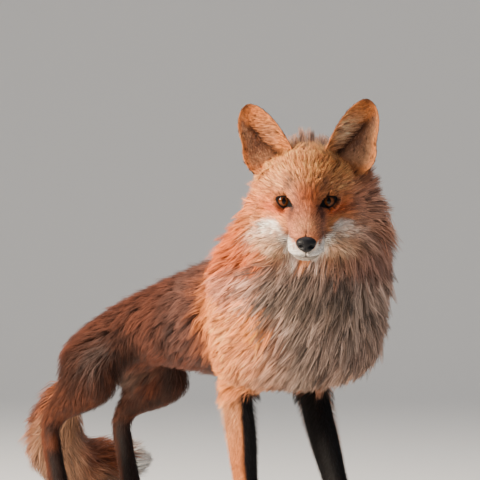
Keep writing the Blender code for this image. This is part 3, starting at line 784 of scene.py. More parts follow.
def face_flow(face):
    """The head's hair runs away from the nose, up at the roots of the ears and outward along the lips."""
    head = to_head(face)
    x, z = face[:, 0], face[:, 2]
    outward = np.sign(x)[:, None] * np.array((1.0, 0, 0))
    away = unit(face - np.array((0, -0.08, -0.042)))
    away[:, 0] *= 1 + 0.9 * ramp(-0.01, 0.03, z)
    cheek = ramp(0.026, 0.05, np.abs(x)) * ramp(0.01, -0.02, z)
    away = away + cheek[:, None] * np.array((0, 0.15, -0.35)) + np.array((0, 0.25, 0))
    away = layered(unit(away), (unit(0.55 * outward + (0, 0, 1)), ear_root(face)))
    above_mouth = head[:, 2] - mouth_seam(head) - 0.002
    lips = ramp(0.01, 0.004, np.abs(above_mouth)) * ramp(-0.02, -0.03, head[:, 1])
    return unit(layered(unit(away), (unit(0.9 * outward + (0, 0.7, 0)), lips)))


def hair_flow(points, normals, codes, edges, blend):
    """The direction in which the hair lies, along the skin."""
    lateral = np.sign((points - BODY_SHIFT)[:, :1]) * np.array((1.0, 0, 0))
    flow = layered(
        np.tile((0, 0.8, -0.6), (len(points), 1)),
        (np.array((0, 0.62, -0.8)) + 0.12 * lateral, blend["neck"]),
        (np.array((0, 0.35, -0.9)), blend["hindleg"]),
        (np.array((0, 0.06, -1.0)), blend["foreleg"]),
    )
    flow[is_part(codes, "forepaw", "hindpaw")] = (0, -0.75, -0.65)
    head_way = face_flow(to_face(points)) @ FACE_AXES
    flow = layered(flow, (tail_place(points)[1], blend["tail"]), (head_way, blend["head"]))
    waver = np.stack([noise(points, 0.028, seed) - 0.5 for seed in (21, 22, 23)], axis=1)
    flow = flow + waver * (0.75 - 0.5 * blend["head"] - 0.4 * blend["foreleg"])[:, None]
    for _ in range(4):
        flow = unit(flow - dot(flow, normals) * normals)
        flow = relaxed(flow, edges, 2)
    return unit(flow - dot(flow, normals) * normals)


# ---- Tufts ----
def sown(triangles, weight, count):
    """The corners that each tuft's root lies between and its share of each, drawn in proportion to weight."""
    total = np.cumsum(weight)
    marks = (np.arange(count) + rng.random(count)) * total[-1] / count
    chosen = np.minimum(np.searchsorted(total, marks), len(total) - 1)
    a, b = rng.random(count), rng.random(count)
    flip = a + b > 1
    a, b = np.where(flip, 1 - a, a), np.where(flip, 1 - b, b)
    return triangles[chosen], np.stack((1 - a - b, a, b), axis=1)


def between(values, corners, shares):
    """Values at places that lie between corners."""
    if values.ndim == 1:
        return np.sum(values[corners] * shares, axis=1)
    return np.sum(values[corners] * shares[:, :, None], axis=1)


def grown(fields, corners, shares, longest):
    """Tufts whose root, normal, way, sizes and colour are the fields' values between the corners."""
    count = len(corners)
    tuft = {key: between(values, corners, shares) for key, values in fields.items()}
    tuft["normal"], tuft["way"] = unit(tuft["normal"]), unit(tuft["way"])
    tuft["length"] = tuft["length"] * rng.uniform(0.7, longest, count)
    tuft["width"] = tuft["width"] * rng.uniform(0.7, 1.2, count)
    return tuft


def finder_of(targets):
    finder = KDTree(len(targets))
    for k, p in enumerate(targets):
        finder.insert(p, k)
    finder.balance()
    return finder


def nearest(targets, points):
    """The number of the target that each point is nearest to."""
    finder = targets if isinstance(targets, KDTree) else finder_of(targets)
    return np.fromiter((finder.find(p)[1] for p in points), np.int64, len(points))


def traced(tuft, rings, stray, follow, ground_under):
    """The middle line of each tuft, from root to tip, and the skin's normals along it."""
    count = len(tuft["root"])
    ground, normal = tuft["root"], tuft["normal"]
    heading = unit(tuft["way"] + rng.normal(0, stray, (count, 3)))
    reach = (tuft["length"] / rings)[:, None]
    rise = tuft["height"] * rng.uniform(0.5, 1.1, count)
    rise = rise * np.where(rng.random(count) < 0.08, 1.35, 1)  # a few tufts stand out from the rest
    line, line_normals = [ground - normal * ROOT_SINK], [normal]
    for k in range(1, rings + 1):
        ahead = ground + heading * reach
        if ground_under is None:
            ground = ahead
        else:
            finder, points, normals, flow = ground_under
            found = nearest(finder, ahead)
            over = np.clip(dot(ahead - points[found], normals[found]), -0.6 * reach, 0.6 * reach)
            ground = ahead - follow * over * normals[found]
            normal = unit(mix(normal, normals[found], follow))
            heading = unit(mix(heading, flow[found], 0.45 * follow))
        heading = unit(heading - dot(heading, normal) * normal)
        raised = rise * (1 - (1 - k / rings) ** 1.6) + tuft["stand"] * (k / rings) ** 1.5
        line.append(ground + normal * raised[:, None] + tuft["sweep"] * (k / rings) ** 1.2)
        line_normals.append(normal)
    return np.stack(line, axis=1), np.stack(line_normals, axis=1)


def blades(line, line_normals, width):
    """Closed three-sided blades that taper to a point along the lines, and each point's ring."""
    count, rings = len(line), line.shape[1] - 1
    sideways = unit(np.cross(unit(np.gradient(line, axis=1)), line_normals))[:, :rings]
    middle_line, up = line[:, :rings], line_normals[:, :rings]
    half = (width[:, None] * np.array({1: (1.0,), 2: (0.85, 1.0)}[rings]) / 2)[..., None]
    corners = (middle_line + sideways * half, middle_line - sideways * half, middle_line + up * 0.9 * half)
    points = np.concatenate((np.stack(corners, axis=2).reshape(count, rings * 3, 3), line[:, -1:]), axis=1)
    shade = np.stack((unit(up + 0.45 * sideways), unit(up - 0.45 * sideways), up), axis=2)
    normals = np.concatenate((shade.reshape(count, rings * 3, 3), line_normals[:, -1:]), axis=1)
    last, tip = 3 * (rings - 1), rings * 3
    faces = [(0, 2, 1)]
    for a, b in ((0, 2), (2, 1), (1, 0)):
        for r in range(rings - 1):
            i, j = 3 * r + a, 3 * r + b
            faces += [(j + 3, j, i), (i + 3, j + 3, i)]
        faces.append((tip, last + b, last + a))
    triangles = np.array(faces)[None] + np.arange(count)[:, None, None] * (tip + 1)
    return points, triangles.reshape(-1, 3), normals, np.append(np.repeat(np.arange(rings), 3), rings)


def tuft_colours(base, grizzle, tone, rings):
    """The colours of each tuft's rings. Some tips are pale and some dark, where the coat is grizzled."""
    shaft = base * np.clip(tone, 0.3, 1.7)[:, None]
    draw = rng.random(len(base))[:, None]
    tip = np.minimum(shaft * 1.25, 1)
    tip = np.where(draw < PALE_TIPS, mix(shaft, np.minimum(shaft * 1.75 + 0.07, 1), grizzle), tip)
    tip = np.where(draw > 1 - DARK_TIPS, mix(shaft, shaft * 0.4, grizzle), tip)
    # the root is darker: partly darker underfur, partly painted shade deep in the coat
    root = shaft * 0.2
    return (root, shaft, tip) if rings == 2 else (mix(root, shaft, 0.38), mix(shaft, tip, 0.85))


def coat(name, look, batches, lock, ground_under):
    """One piece of coat, from batches of (rings, tufts): ones that bend, then straight ones that join them.

    A lock says how many tufts share it, how far they lean to it, how much they stray from the lie of the
    coat, how closely they follow the skin, and how much their tones differ.
    """
    size, pull, stray, follow, spread = lock
    total = sum(len(tuft["root"]) for _, tuft in batches)
    pieces, start, leaders = [], 0, None
    for rings, tuft in batches:
        line, line_normals = traced(tuft, rings, stray, follow, ground_under)
        count = len(line)
        if leaders is None:
            chosen = rng.permutation(count)[: max(total // size, 1)]
            leaders = (tuft["root"][chosen], line[chosen], rng.normal(1, spread, len(chosen)))
        small = rng.permutation(count)[: max(count // SMALL_LOCK, 1)]
        t = np.linspace(0, 1, rings + 1)[None, :, None]
        near = nearest(tuft["root"][small], tuft["root"])
        line = line + (line[small[near]] - line) * 0.35 * t
        mine = nearest(leaders[0], tuft["root"])
        lead = leaders[1][mine]
        if lead.shape[1] > rings + 1:
            lead = lead[:, (0, -1)]
        line = line + (lead - line) * pull * t**1.2
        line[..., 2] = np.maximum(line[..., 2], FLOOR_GAP)
        tone = leaders[2][mine] * rng.normal(1, 0.7 * spread, len(small))[near] * rng.normal(1, 0.1, count)
        tone = tone * (0.76 + 0.48 * noise(tuft["root"], 0.014, 9))
        stops = tuft_colours(tuft["colour"], tuft["grizzle"], tone, rings)
        points, triangles, normals, row = blades(line, line_normals, tuft["width"])
        colour = np.stack(stops, axis=1)[:, row]
        inside = np.stack((np.append(np.tile((0, 1, 0.5), rings), 0.5), row / rings), axis=1) - 0.5
        uv = np.clip(tuft["place"][:, None] + inside * PATCH, 0.0005, 0.9995)
        flat = [a.reshape(-1, a.shape[-1]) for a in (points, colour, normals, uv)]
        pieces.append((flat[0], triangles + start, *flat[1:]))
        start += len(flat[0])
    points, triangles, colour, normals, uv = (np.concatenate(parts) for parts in zip(*pieces))
    dressed(mesh_object(name, points, triangles, np.clip(colour, 0, 1), normals, uv), look)


def unwrap_round(points, start, end):
    """Turns about a line, and distance along it, each from 0 to 1."""
    start, end = np.asarray(start, float), np.asarray(end, float)
    axis = unit(end - start)
    side = unit(np.cross(axis, (0, 0, 1) if abs(axis[2]) < 0.9 else (0, 1, 0)))
    away = points - start
    u = np.arctan2(away @ side, away @ np.cross(axis, side)) / (2 * pi) + 0.5
    v = away @ axis
    return np.stack((u, 0.02 + 0.96 * (v - v.min()) / max(v.max() - v.min(), 1e-6)), axis=1)


# ---- Materials ----
def material(name, roughness, base=None, **inputs):
    """A Principled material, its nodes and its shader. An input's spaces are written as underscores."""
    mat = bpy.data.materials.new(name)
    mat.use_nodes = True
    shader = mat.node_tree.nodes["Principled BSDF"]
    shader.inputs["Roughness"].default_value = roughness
    if base is not None:
        shader.inputs["Base Color"].default_value = (*base, 1)
    for key, value in inputs.items():
        shader.inputs[key.replace("_", " ")].default_value = value
    return mat, mat.node_tree, shader


def add_node(tree, kind, values, links):
    """A node with these values on its inputs, and these outputs of other nodes linked to them."""
    node = tree.nodes.new("ShaderNode" + kind)
    for key, value in values.items():
        node.inputs[key].default_value = value
    for key, output in links.items():
        tree.links.new(output, node.inputs[key])
    return node


def add_noise(tree, scale, detail, stretch=(1, 1, 1)):
    where = tree.nodes.new("ShaderNodeTexCoord")
    mapping = add_node(tree, "Mapping", {"Scale": stretch}, {"Vector": where.outputs["Object"]})
    values = {"Scale": scale, "Detail": detail}
    return add_node(tree, "TexNoise", values, {"Vector": mapping.outputs["Vector"]}).outputs["Fac"]


def add_bump(tree, shader, height, strength, distance):
    bump = add_node(tree, "Bump", {"Strength": strength, "Distance": distance}, {"Height": height})
    tree.links.new(bump.outputs["Normal"], shader.inputs["Normal"])


def coloured_by_mesh(tree, shader, scale, low, high):
    """The mesh's colours, lighter and darker by fine noise."""
    colour = tree.nodes.new("ShaderNodeAttribute")
    colour.attribute_name = "Coat"
    fine = add_noise(tree, scale, 3)
    span = add_node(tree, "MapRange", {"To Min": low, "To Max": high}, {"Value": fine})
    scaled = tree.nodes.new("ShaderNodeVectorMath")
    scaled.operation = "SCALE"
    tree.links.new(colour.outputs["Color"], scaled.inputs[0])
    tree.links.new(span.outputs["Result"], scaled.inputs["Scale"])
    tree.links.new(scaled.outputs["Vector"], shader.inputs["Base Color"])
    return fine


def coat_material():
    gloss = {"Specular_IOR_Level": 0.2, "Sheen_Weight": 0.02, "Sheen_Roughness": 0.4}
    mat, tree, shader = material("fox_coat", 0.55, **gloss)
    add_bump(tree, shader, coloured_by_mesh(tree, shader, 160, 0.8, 1.2), 0.25, 0.0006)
    return mat


def skin_material():
    mat, tree, shader = material("fox_skin", 0.7, Specular_IOR_Level=0.12)
    coloured_by_mesh(tree, shader, 420, 0.55, 1.15)
    add_bump(tree, shader, add_noise(tree, 900, 4, (1, 1, 0.35)), 0.7, 0.001)
    return mat


def nose_material():
    gloss = {"Specular_IOR_Level": 0.2, "Coat_Weight": 0.04, "Coat_Roughness": 0.25}
    mat, tree, shader = material("fox_nose", 0.45, (0.004, 0.0035, 0.005), **gloss)
    pebbles = tree.nodes.new("ShaderNodeTexVoronoi")
    pebbles.inputs["Scale"].default_value = 1500
    where = tree.nodes.new("ShaderNodeTexCoord")
    tree.links.new(where.outputs["Object"], pebbles.inputs["Vector"])
    add_bump(tree, shader, pebbles.outputs["Distance"], 0.5, 0.0003)
    return mat


def eye_material():
    gloss = {"Specular_IOR_Level": 0.09, "Coat_Weight": 0.1, "Coat_Roughness": 0.03}
    mat, tree, shader = material("fox_eye", 0.1, **gloss)
    add_bump(tree, shader, coloured_by_mesh(tree, shader, 900, 0.8, 1.15), 0.03, 0.0001)
    return mat


def horn_material(name, base, roughness, shine):
    mat, tree, shader = material(name, roughness, base, Specular_IOR_Level=shine)
    add_bump(tree, shader, add_noise(tree, 700, 3, (1, 1, 0.2)), 0.3, 0.0002)
    return mat


def dressed(piece, look):
    """A finished piece: its material and the body it rides on."""
    piece.data.materials.append(look)
    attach(piece, "root")
    return piece


# ---- Eyes, lid rims, nose, whiskers and claws ----
def sphere_grid(rings, segments):
    """Polar and turning angles of a closed grid about -Y, its points on a unit sphere and its triangles."""
    theta = np.linspace(0, pi, rings + 1)[1:-1]
    phi = np.linspace(0, 2 * pi, segments, endpoint=False)
    theta, phi = np.meshgrid(theta, phi, indexing="ij")
    grid = np.arange(theta.size).reshape(theta.shape)
    after = np.roll(grid, -1, axis=1)
    a, b, c, d = grid[:-1], after[:-1], after[1:], grid[1:]
    front, back = np.full(segments, theta.size), np.full(segments, theta.size + 1)
    faces = [tri(a, c, b), tri(a, d, c), tri(grid[0], after[0], front), tri(after[-1], grid[-1], back)]
    theta, phi = np.append(theta.ravel(), (0, pi)), np.append(phi.ravel(), (0, 0))
    place = np.stack((np.sin(theta) * np.cos(phi), -np.cos(theta), np.sin(theta) * np.sin(phi)), axis=1)
    return theta, place, np.concatenate(faces)


def eye(side, look):
    """A ball with an amber iris, fibred and darker at its edge, with painted shade across its top, and an
    upright slit pupil.
    """
    theta, place, triangles = sphere_grid(90, 96)
    bulge = 1 - 0.012 + 0.03 * np.exp(-((theta / radians(38)) ** 2))
    x, z = place[:, 0] * EYE_RADIUS, place[:, 2] * EYE_RADIUS
    across, turn = np.sqrt(x**2 + z**2), np.arctan2(z, x)
    fibres = 0.5 + 0.28 * np.sin(46 * turn + 5 * np.sin(3 * turn)) + 0.22 * np.sin(90 * turn + 2)
    half_width, half_height = PUPIL
    narrowing = (1 - 0.35 * np.abs(z) / 0.004).clip(0.3, 1)
    slit = np.sqrt((x / (half_width * narrowing)) ** 2 + (z / half_height) ** 2)
    outer_ring = paint(16, 10, 8)
    colour = layered(
        paint(90, 46, 19),
        (paint(44, 19, 9), 0.75 * fibres),
        (paint(116, 64, 29), 0.4 * hump(across, 0.0038, 0.0012)),
        (paint(26, 12, 8), ramp(0.005, 0.0068, across)),
        # painted shade: the top of the iris darkened as under the upper lid
        (paint(16, 9, 7), 0.85 * ramp(0.0006, 0.005, z)),
        (paint(8, 6, 6), ramp(1.12, 0.92, slit)),
        (outer_ring, ramp(IRIS_RADIUS - 0.0006, IRIS_RADIUS + 0.0001, across)),
        (outer_ring, theta > pi / 2),
    )
    centre = np.array((SIDES[side] * EYE_SPACING / 2, -EYE_FORWARD, 0))
    points = from_face(centre + place * (EYE_RADIUS * bulge)[:, None])
    made = dressed(mesh_object(f"eyeball_{side}", points, triangles, colour), look)
    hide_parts(f"eye_{side}")


def lid_rims(surface):
    """Points and triangles of the dark rim of each eye's opening."""
    points, triangles = [], []
    segments, sides = 96, 8
    phi = np.linspace(0, 2 * pi, segments, endpoint=False)

    def edge(side, wider):
        """The edge of the opening, this much wider, well in front of the face."""
        tall = np.where(np.sin(phi) > 0, LID_RISE, LID_DROP) + wider
        over = np.sign(np.sin(phi)) * tall * np.sin(phi) ** 2
        u, v = turned((LID_REACH + wider) * np.cos(phi), over, LID_TILT)
        u, v = u + LID_MIDDLE[0], v + LID_MIDDLE[1]
        return np.stack((side * (u + EYE_SPACING / 2), np.full(segments, -0.04), v), axis=1)

    for side in SIDES.values():
        hits = [surface.ray_cast(Vector(p), Vector(BACKWARD))[0] for p in from_face(edge(side, 0.0009))]
        front = to_face(np.array(hits))[:, 1]
        for _ in range(4):
            front = (np.roll(front, 1) + front + np.roll(front, -1)) / 3
        centre = edge(side, 0.0002)
        centre[:, 1] = front + 0.0001
        ahead = unit(np.roll(centre, -1, axis=0) - np.roll(centre, 1, axis=0))
        out = unit(np.cross(ahead, (0, -1, 0)))
        lift = unit(np.cross(out, ahead))
        turns = [2 * pi * k / sides * side for k in range(sides)]
        ring = np.stack([centre + out * (0.0007 * cos(a)) + lift * (0.0006 * sin(a)) for a in turns], axis=1)
        grid = np.arange(segments * sides).reshape(segments, sides) + sum(len(p) for p in points)
        points.append(from_face(ring.reshape(-1, 3)))
        triangles += tube_faces(np.concatenate((grid, grid[:1])))
    return np.concatenate(points), np.concatenate(triangles)


def nose_pad():
    """A rounded pad, broader above, with nostrils that sweep outward and a groove below its middle."""
    _, place, triangles = sphere_grid(56, 72)
    x, y, z = (place * NOSE_HALF).T
    x = x * (1 + 0.26 * place[:, 2])
    front = ramp(0.2, -0.6, place[:, 1])
    dent = 0.001 * hump(x, 0, 0.0006) * ramp(0.002, -0.003, z)
    for side in SIDES.values():
        dent += 0.004 * spot(side * x, z, (0.005, -0.0002), (0.0026, 0.0021))
        dent += 0.0022 * spot(side * x, z, (0.0078, -0.0014), (0.0026, 0.001))
    y = y + (dent - 0.0008 * ramp(0.001, 0.005, z)) * front
    points = from_head(np.stack((x, y, z), axis=1) + NOSE_CENTRE)
    made = dressed(mesh_object("nose_pad", points, triangles), nose_material())
    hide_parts("nose")


def whiskers(surface):
    """Three rows of four on each side of the muzzle: tapered hairs that bend backward and droop."""
    sides, steps, width = 4, 7, 0.00034
    starts, ways, lengths, droop = [], [], [], []
    for side in SIDES.values():
        for row in range(3):
            for k in range(4):
                back = -0.061 + 0.0055 * k + 0.001 * row
                high = -0.019 - 0.004 * row
                seed = from_head((side * 0.05, back, high))
                hit = surface.ray_cast(Vector(seed), Vector(from_head((0, back + 0.004, high)) - seed))[0]
                if hit is None:
                    continue
                starts.append(np.array(hit))
                way = (side * (0.8 + 0.05 * k), 0.25 + 0.1 * k + 0.2 * rng.random(), 0.12 - 0.13 * row)
                ways.append(unit(np.array(way)) @ FACE_AXES)
                lengths.append(rng.uniform(0.034, 0.056))
                droop.append(np.array((side * -0.004, 0.016, rng.uniform(-0.014, -0.004))) @ FACE_AXES)
    starts, ways, lengths, droop = (np.array(a)[:, None] for a in (starts, ways, lengths, droop))
    t = np.linspace(0, 1, steps + 1)
    line = starts + ways * (lengths * t)[..., None] + droop * (t**2)[None, :, None]
    tangent = unit(np.gradient(line, axis=1))
    a = unit(np.cross(tangent, (0, 0, 1)))
    b = np.cross(tangent, a)
    radius = np.full(len(line), width)[:, None] / 2 * (1 - t) ** 0.7 + 0.00002
    turns = [2 * pi * k / sides for k in range(sides)]
    rings = np.stack([line + (a * cos(turn) + b * sin(turn)) * radius[..., None] for turn in turns], axis=2)
    grid = np.arange(rings.size // 3).reshape(rings.shape[:3])
    faces = tube_faces(grid)
    for cap in (grid[:, 0, ::1], grid[:, -1, ::-1]):
        faces += [tri(cap[:, 0], cap[:, k + 1], cap[:, k]) for k in range(1, sides - 1)]
    made = mesh_object("whiskers", rings.reshape(-1, 3), np.concatenate(faces))
    dressed(made, horn_material("fox_whisker", (0.02, 0.015, 0.012), 0.35, 0.5))


def paw_claws():
    """Four curved claws at the front of each paw."""
    points, triangles = [], []
    rows, sides, toes = 6, 7, 4
    t = np.repeat(np.arange(rows) / (rows - 1), sides)
    a = np.tile(2 * pi * np.arange(sides) / sides, rows)
    radius = 0.0021 * (1 - t) ** 0.75 + 0.0001
    x, y = radius * 0.8 * np.cos(a), 0.0036 - 0.0115 * t
    z = 0.0092 - 0.001 * t - 0.0055 * t**2 + radius * np.sin(a)
    for name in PAWS:
        origin, turn = paw_axes(name)
        for across in np.linspace(-1, 1, toes):
            tip = (*turned(across * 0.0136, 0.0096 * abs(across) ** 1.5, turn), 0)
            claw = np.stack((*turned(x, y, turn - across * 0.22), z), axis=1)
            grid = np.arange(rows * sides).reshape(rows, sides) + sum(len(p) for p in points)
            points.append(claw + tip + origin)
            triangles += tube_faces(grid)
            for cap in (grid[0][::-1], grid[-1]):
                triangles += [tri(cap[0], cap[k], cap[k + 1]) for k in range(1, sides - 1)]
    made = mesh_object("claws", np.concatenate(points), np.concatenate(triangles))
    dressed(made, horn_material("fox_claw", (0.012, 0.01, 0.009), 0.55, 0.12))


# ---- How the hair grows ----
def bare_skin(points, head, gap):
    """1 where no hair grows: the lids' edges, under the nose pad, the soles and the line of the mouth."""
    on_nose = np.linalg.norm((head - NOSE_CENTRE) / np.array((0.0118, 0.0095, 0.0098)), axis=1) < 1
    on_mouth = (np.abs(head[:, 2] - mouth_seam(head)) < 0.0012) & (ramp(-0.016, -0.024, head[:, 1]) > 0.5)
    return ((gap < 0.0012) | on_nose | (points[:, 2] < 0.0022) | on_mouth).astype(float)


def hair_fields(points, normals, codes, depth, blend, colour):
    """What each tuft takes from its place on the skin, and where the skin is bare."""
    face = to_face(points)
    head = to_head(face)
    x, y, z = face.T
    gap = lid_gap(face)
    forward = normals @ -BACKWARD
    front_half = ramp(0.02, -0.02, (points - BODY_SHIFT)[:, 1])
    on_mane = blend["head"] + blend["neck"]
    nape = on_mane * hump(x, 0, 0.04) * ramp(0.04, 0.056, y) * ramp(0.125, 0.07, y)
    nape = np.clip(nape * ramp(0.038, 0.052, z), 0, 1)
    fringe = blend["head"] * ramp(0.045, 0.06, np.abs(x)) * ramp(-0.055, -0.035, z) * ramp(0.032, 0.018, z)
    beard = ramp(-0.1, -0.5, normals[:, 2]) * front_half * ramp(0.2, 0.22, points[:, 2])
    beard = beard * (1 - blend["head"]) * (1 - blend["foreleg"])
    ruff = on_mane * ramp(-0.045, -0.062, x) * ramp(-0.1, -0.07, z) * ramp(0, -0.02, z)
    throat = blend["neck"] * ramp(0, 0.4, forward) * ramp(-0.05, -0.08, z)
    at_ear = ear_root(face)
    along, heading, tail_middle = tail_place(points)
    brush = blend["tail"] * ramp(0.84, 1, along)

    length = 0.0034 + 1.85 * depth
    length = length * (1 + 0.6 * nape + 0.4 * fringe + 0.25 * beard + 0.2 * throat) + 0.0065 * at_ear
    length = mix(length, 0.46 * length + 0.001, blend["foreleg"])
    length = length * (0.25 + 0.75 * ramp(0.001, 0.01, gap))
    length = length * (1 - 0.35 * is_part(codes, "forepaw", "hindpaw")) * (1 - 0.42 * brush)
    width = 0.0003 + 0.018 * length
    lips = ramp(-0.016, -0.024, head[:, 1]) * hump(head[:, 2] - mouth_seam(head), 0.001, 0.0045)

    light = colour.mean(axis=1)
    grizzle = np.clip(0.75 - 0.5 * ramp(0.5, 0.8, light) - 0.62 * ramp(0.1, 0.03, light), 0.05, 1)
    low_chest = is_part(codes, "trunk") & ((points - BODY_SHIFT)[:, 1] < -0.02) & (z < -0.09)
    ash_front = (on_bib(points, normals, codes) | low_chest) & (colour[:, 0] < 1.6 * colour[:, 2])
    fields = {
        "root": points,
        "normal": normals,
        "length": length * (1 - 0.65 * lips),
        "width": width,
        "height": depth,
        "stand": 0.025 * nape + 0.006 * fringe + 0.006 * beard + 0.0045 * at_ear + 0.007 * ruff,
        "sweep": (0.003 * heading + 0.62 * (tail_middle - (points - BODY_SHIFT))) * brush[:, None],
        "colour": colour,
        "grizzle": np.where(ash_front, 1.0, grizzle),
    }
    return fields, bare_skin(points, head, gap)


def on_bib(points, normals, codes):
    return is_part(codes, "neck") & (normals @ -BACKWARD > -0.1) & (to_face(points)[:, 2] < -0.05)


def regions(points, normals, codes):
    """Where each piece of coat grows."""
    face = to_face(points)
    head_y, body_y = to_head(face)[:, 1], (points - BODY_SHIFT)[:, 1]
    on_head, on_neck, on_trunk = (is_part(codes, part) for part in ("head", "neck", "trunk"))
    muzzle = on_head & (head_y < -0.012) & (np.abs(face[:, 0]) < 0.034)
    cheeks = on_head & ~muzzle & (face[:, 2] < 0.004)
    bib = on_bib(points, normals, codes)
    chest = on_trunk & (body_y < -0.02)
    back = on_trunk & ~chest & (normals[:, 2] > 0.1)
    hindleg = is_part(codes, "hindleg")
    legs = is_part(codes, "foreleg", "forepaw", "hindpaw") | (hindleg & (points[:, 2] < 0.125))
    return {
        "muzzle": muzzle,
        "crown": on_head & ~muzzle & ~cheeks,
        "cheeks": cheeks,
        "neck": on_neck & ~bib,
        "bib": bib,
        "chest": chest,
        "back": back,
        "flanks": on_trunk & ~chest & ~back,
        "haunches": hindleg & ~legs,
        "legs": legs,
        "tail": is_part(codes, "tail"),
    }


def at_body(x, y, z):
    return BODY_SHIFT + np.array((x, y, z))


HEAD_LINE = (from_face((0, -0.07, -0.03)), from_face((0, 0.06, 0.01)))
NECK_LINE = (from_face((0, 0.03, 0)), at_body(0, 0, 0.23))
TRUNK_LINE = (at_body(0, -0.12, 0.25), at_body(0, 0.35, 0.22))
TAIL_ENDS = (at_body(0, 0.35, 0.21), at_body(0.2, 0.52, 0.06))
HAUNCH_LINE = (at_body(0, 0.33, 0.25), at_body(0, 0.33, 0))
LEG_LINE = (at_body(0, 0.15, 0.25), at_body(0, 0.15, 0))

# piece: bent tufts, straight tufts, its lock (see coat), and the line that it is unwrapped round
COAT = {
    "muzzle": (0, 40000, (7, 0.38, 0.14, 1, 0.36), HEAD_LINE),
    "crown": (0, 36000, (14, 0.68, 0.14, 1, 0.46), HEAD_LINE),
    "cheeks": (8000, 16000, (16, 0.58, 0.13, 0.8, 0.27), HEAD_LINE),
    "neck": (7000, 16000, (22, 0.66, 0.13, 0.85, 0.28), NECK_LINE),
    "bib": (9000, 14000, (17, 0.85, 0.15, 0.85, 0.44), NECK_LINE),
    "chest": (9000, 13000, (19, 0.8, 0.14, 0.85, 0.38), TRUNK_LINE),
    "back": (6000, 16000, (22, 0.55, 0.11, 0.95, 0.24), TRUNK_LINE),
    "flanks": (5500, 15000, (24, 0.6, 0.12, 0.95, 0.24), TRUNK_LINE),
    "haunches": (3000, 11000, (14, 0.4, 0.11, 0.95, 0.2), HAUNCH_LINE),
    "legs": (0, 34000, (8, 0.25, 0.1, 1, 0.2), LEG_LINE),
    "tail": (4500, 12000, (20, 0.55, 0.13, 0.9, 0.24), TAIL_ENDS),
}
EAR_TUFTS, EAR_LOCK = 13000, (12, 0.45, 0.12, 0, 0.42)


def areas_of(points, triangles):
    a, b, c = (points[triangles[:, k]] for k in range(3))
    return np.linalg.norm(np.cross(b - a, c - a), axis=1) / 2


def sow_body(look, points, triangles, normals, codes, edges, flow, fields, bare):
    """The coat of the skin, thickest where its tufts are smallest, thin in sharp creases."""
    fields = {**fields, "way": flow}
    flatness = np.sum(normals * unit(relaxed(normals, edges, 10)), axis=1)
    smooth_skin = ramp(0.78, 0.92, flatness)[triangles].min(axis=1)
    tuft_size = (fields["length"] * fields["width"])[triangles].mean(axis=1)
    need = areas_of(points, triangles) * ((1 - bare[triangles].max(axis=1)) * smooth_skin / tuft_size)
    ground_under = (finder_of(points), points, normals, flow)
    where = regions(points, normals, codes)
    for name, (bent, straight, lock, line) in COAT.items():
        mine = np.flatnonzero(where[name][triangles[:, 0]])
        batches = []
        for rings, count in ((2, int(bent * THINNING)), (1, int(straight * THINNING))):
            if count:
                tuft = grown(fields, *sown(triangles[mine], need[mine], count), 1.25)
                tuft["place"] = unwrap_round(tuft["root"], *line)
                batches.append((rings, tuft))
        coat(f"coat_{name}", look, batches, lock, ground_under)


def sow_ear(name, look, points, triangles, place, tip, outer, colour):
    """The hair of an ear: longest inside, sparse in the dark fold, turned down and outward at its foot."""
    normals = normals_of(points, triangles)
    across, rise, behind = place.T
    dark_slit = hump(across, EAR_SLIT + rise, 0.16) * ramp(0.8, 0.65, rise) * (1 - behind)
    inner = (1 - behind) * ramp(EAR_SLIT + rise + 0.1, EAR_SLIT + rise - 0.3, across)
    foot = ramp(0.16, 0, rise) * ramp(-0.2, 0.3, across)
    way = tip * (1 - 0.35 * inner)[:, None] + outer * (inner * ramp(0.95, 0.6, rise))[:, None]
    way = mix(way, 0.25 * outer - tip, foot)
    hair = 0.005 + 0.008 * inner * ramp(0.85, 0.2, rise) + 0.002 * behind + 0.003 * foot
    root_tan = ramp(0.22, 0.06, rise) * np.maximum(behind, ramp(0.1, -0.04, rise))
    fields = {
        "root": points,
        "normal": normals,
        "way": unit(way - dot(way, normals) * normals),
        "length": hair * (1 - 0.62 * ramp(0.7, 0.95, rise)),
        "width": np.full(len(points), 0.00052),
        "height": 0.0006 + 0.0015 * inner,
        "stand": np.zeros(len(points)),
        "sweep": np.zeros((len(points), 3)),
        "colour": layered(colour, (TAN, root_tan)),
    }
    weight = areas_of(points, triangles) * (rise < 0.985)[triangles].min(axis=1)
    weight = weight * (1 - 0.8 * dark_slit[triangles].mean(axis=1))
    corners, shares = sown(triangles, weight, int(EAR_TUFTS * THINNING))
    tuft = grown(fields, corners, shares, 1.3)
    tuft["height"] += 0.0012 * rng.random(len(corners))
    u, v, side = between(place, corners, shares).T
    tuft["grizzle"] = 0.7 * ramp(0, 0.25, v)
    tuft["place"] = np.stack((0.25 + 0.22 * u + 0.5 * side, 0.05 + 0.88 * np.clip(v, 0, 1)), axis=1)
    coat(f"coat_ear_{name}", look, [(1, tuft)], EAR_LOCK, None)


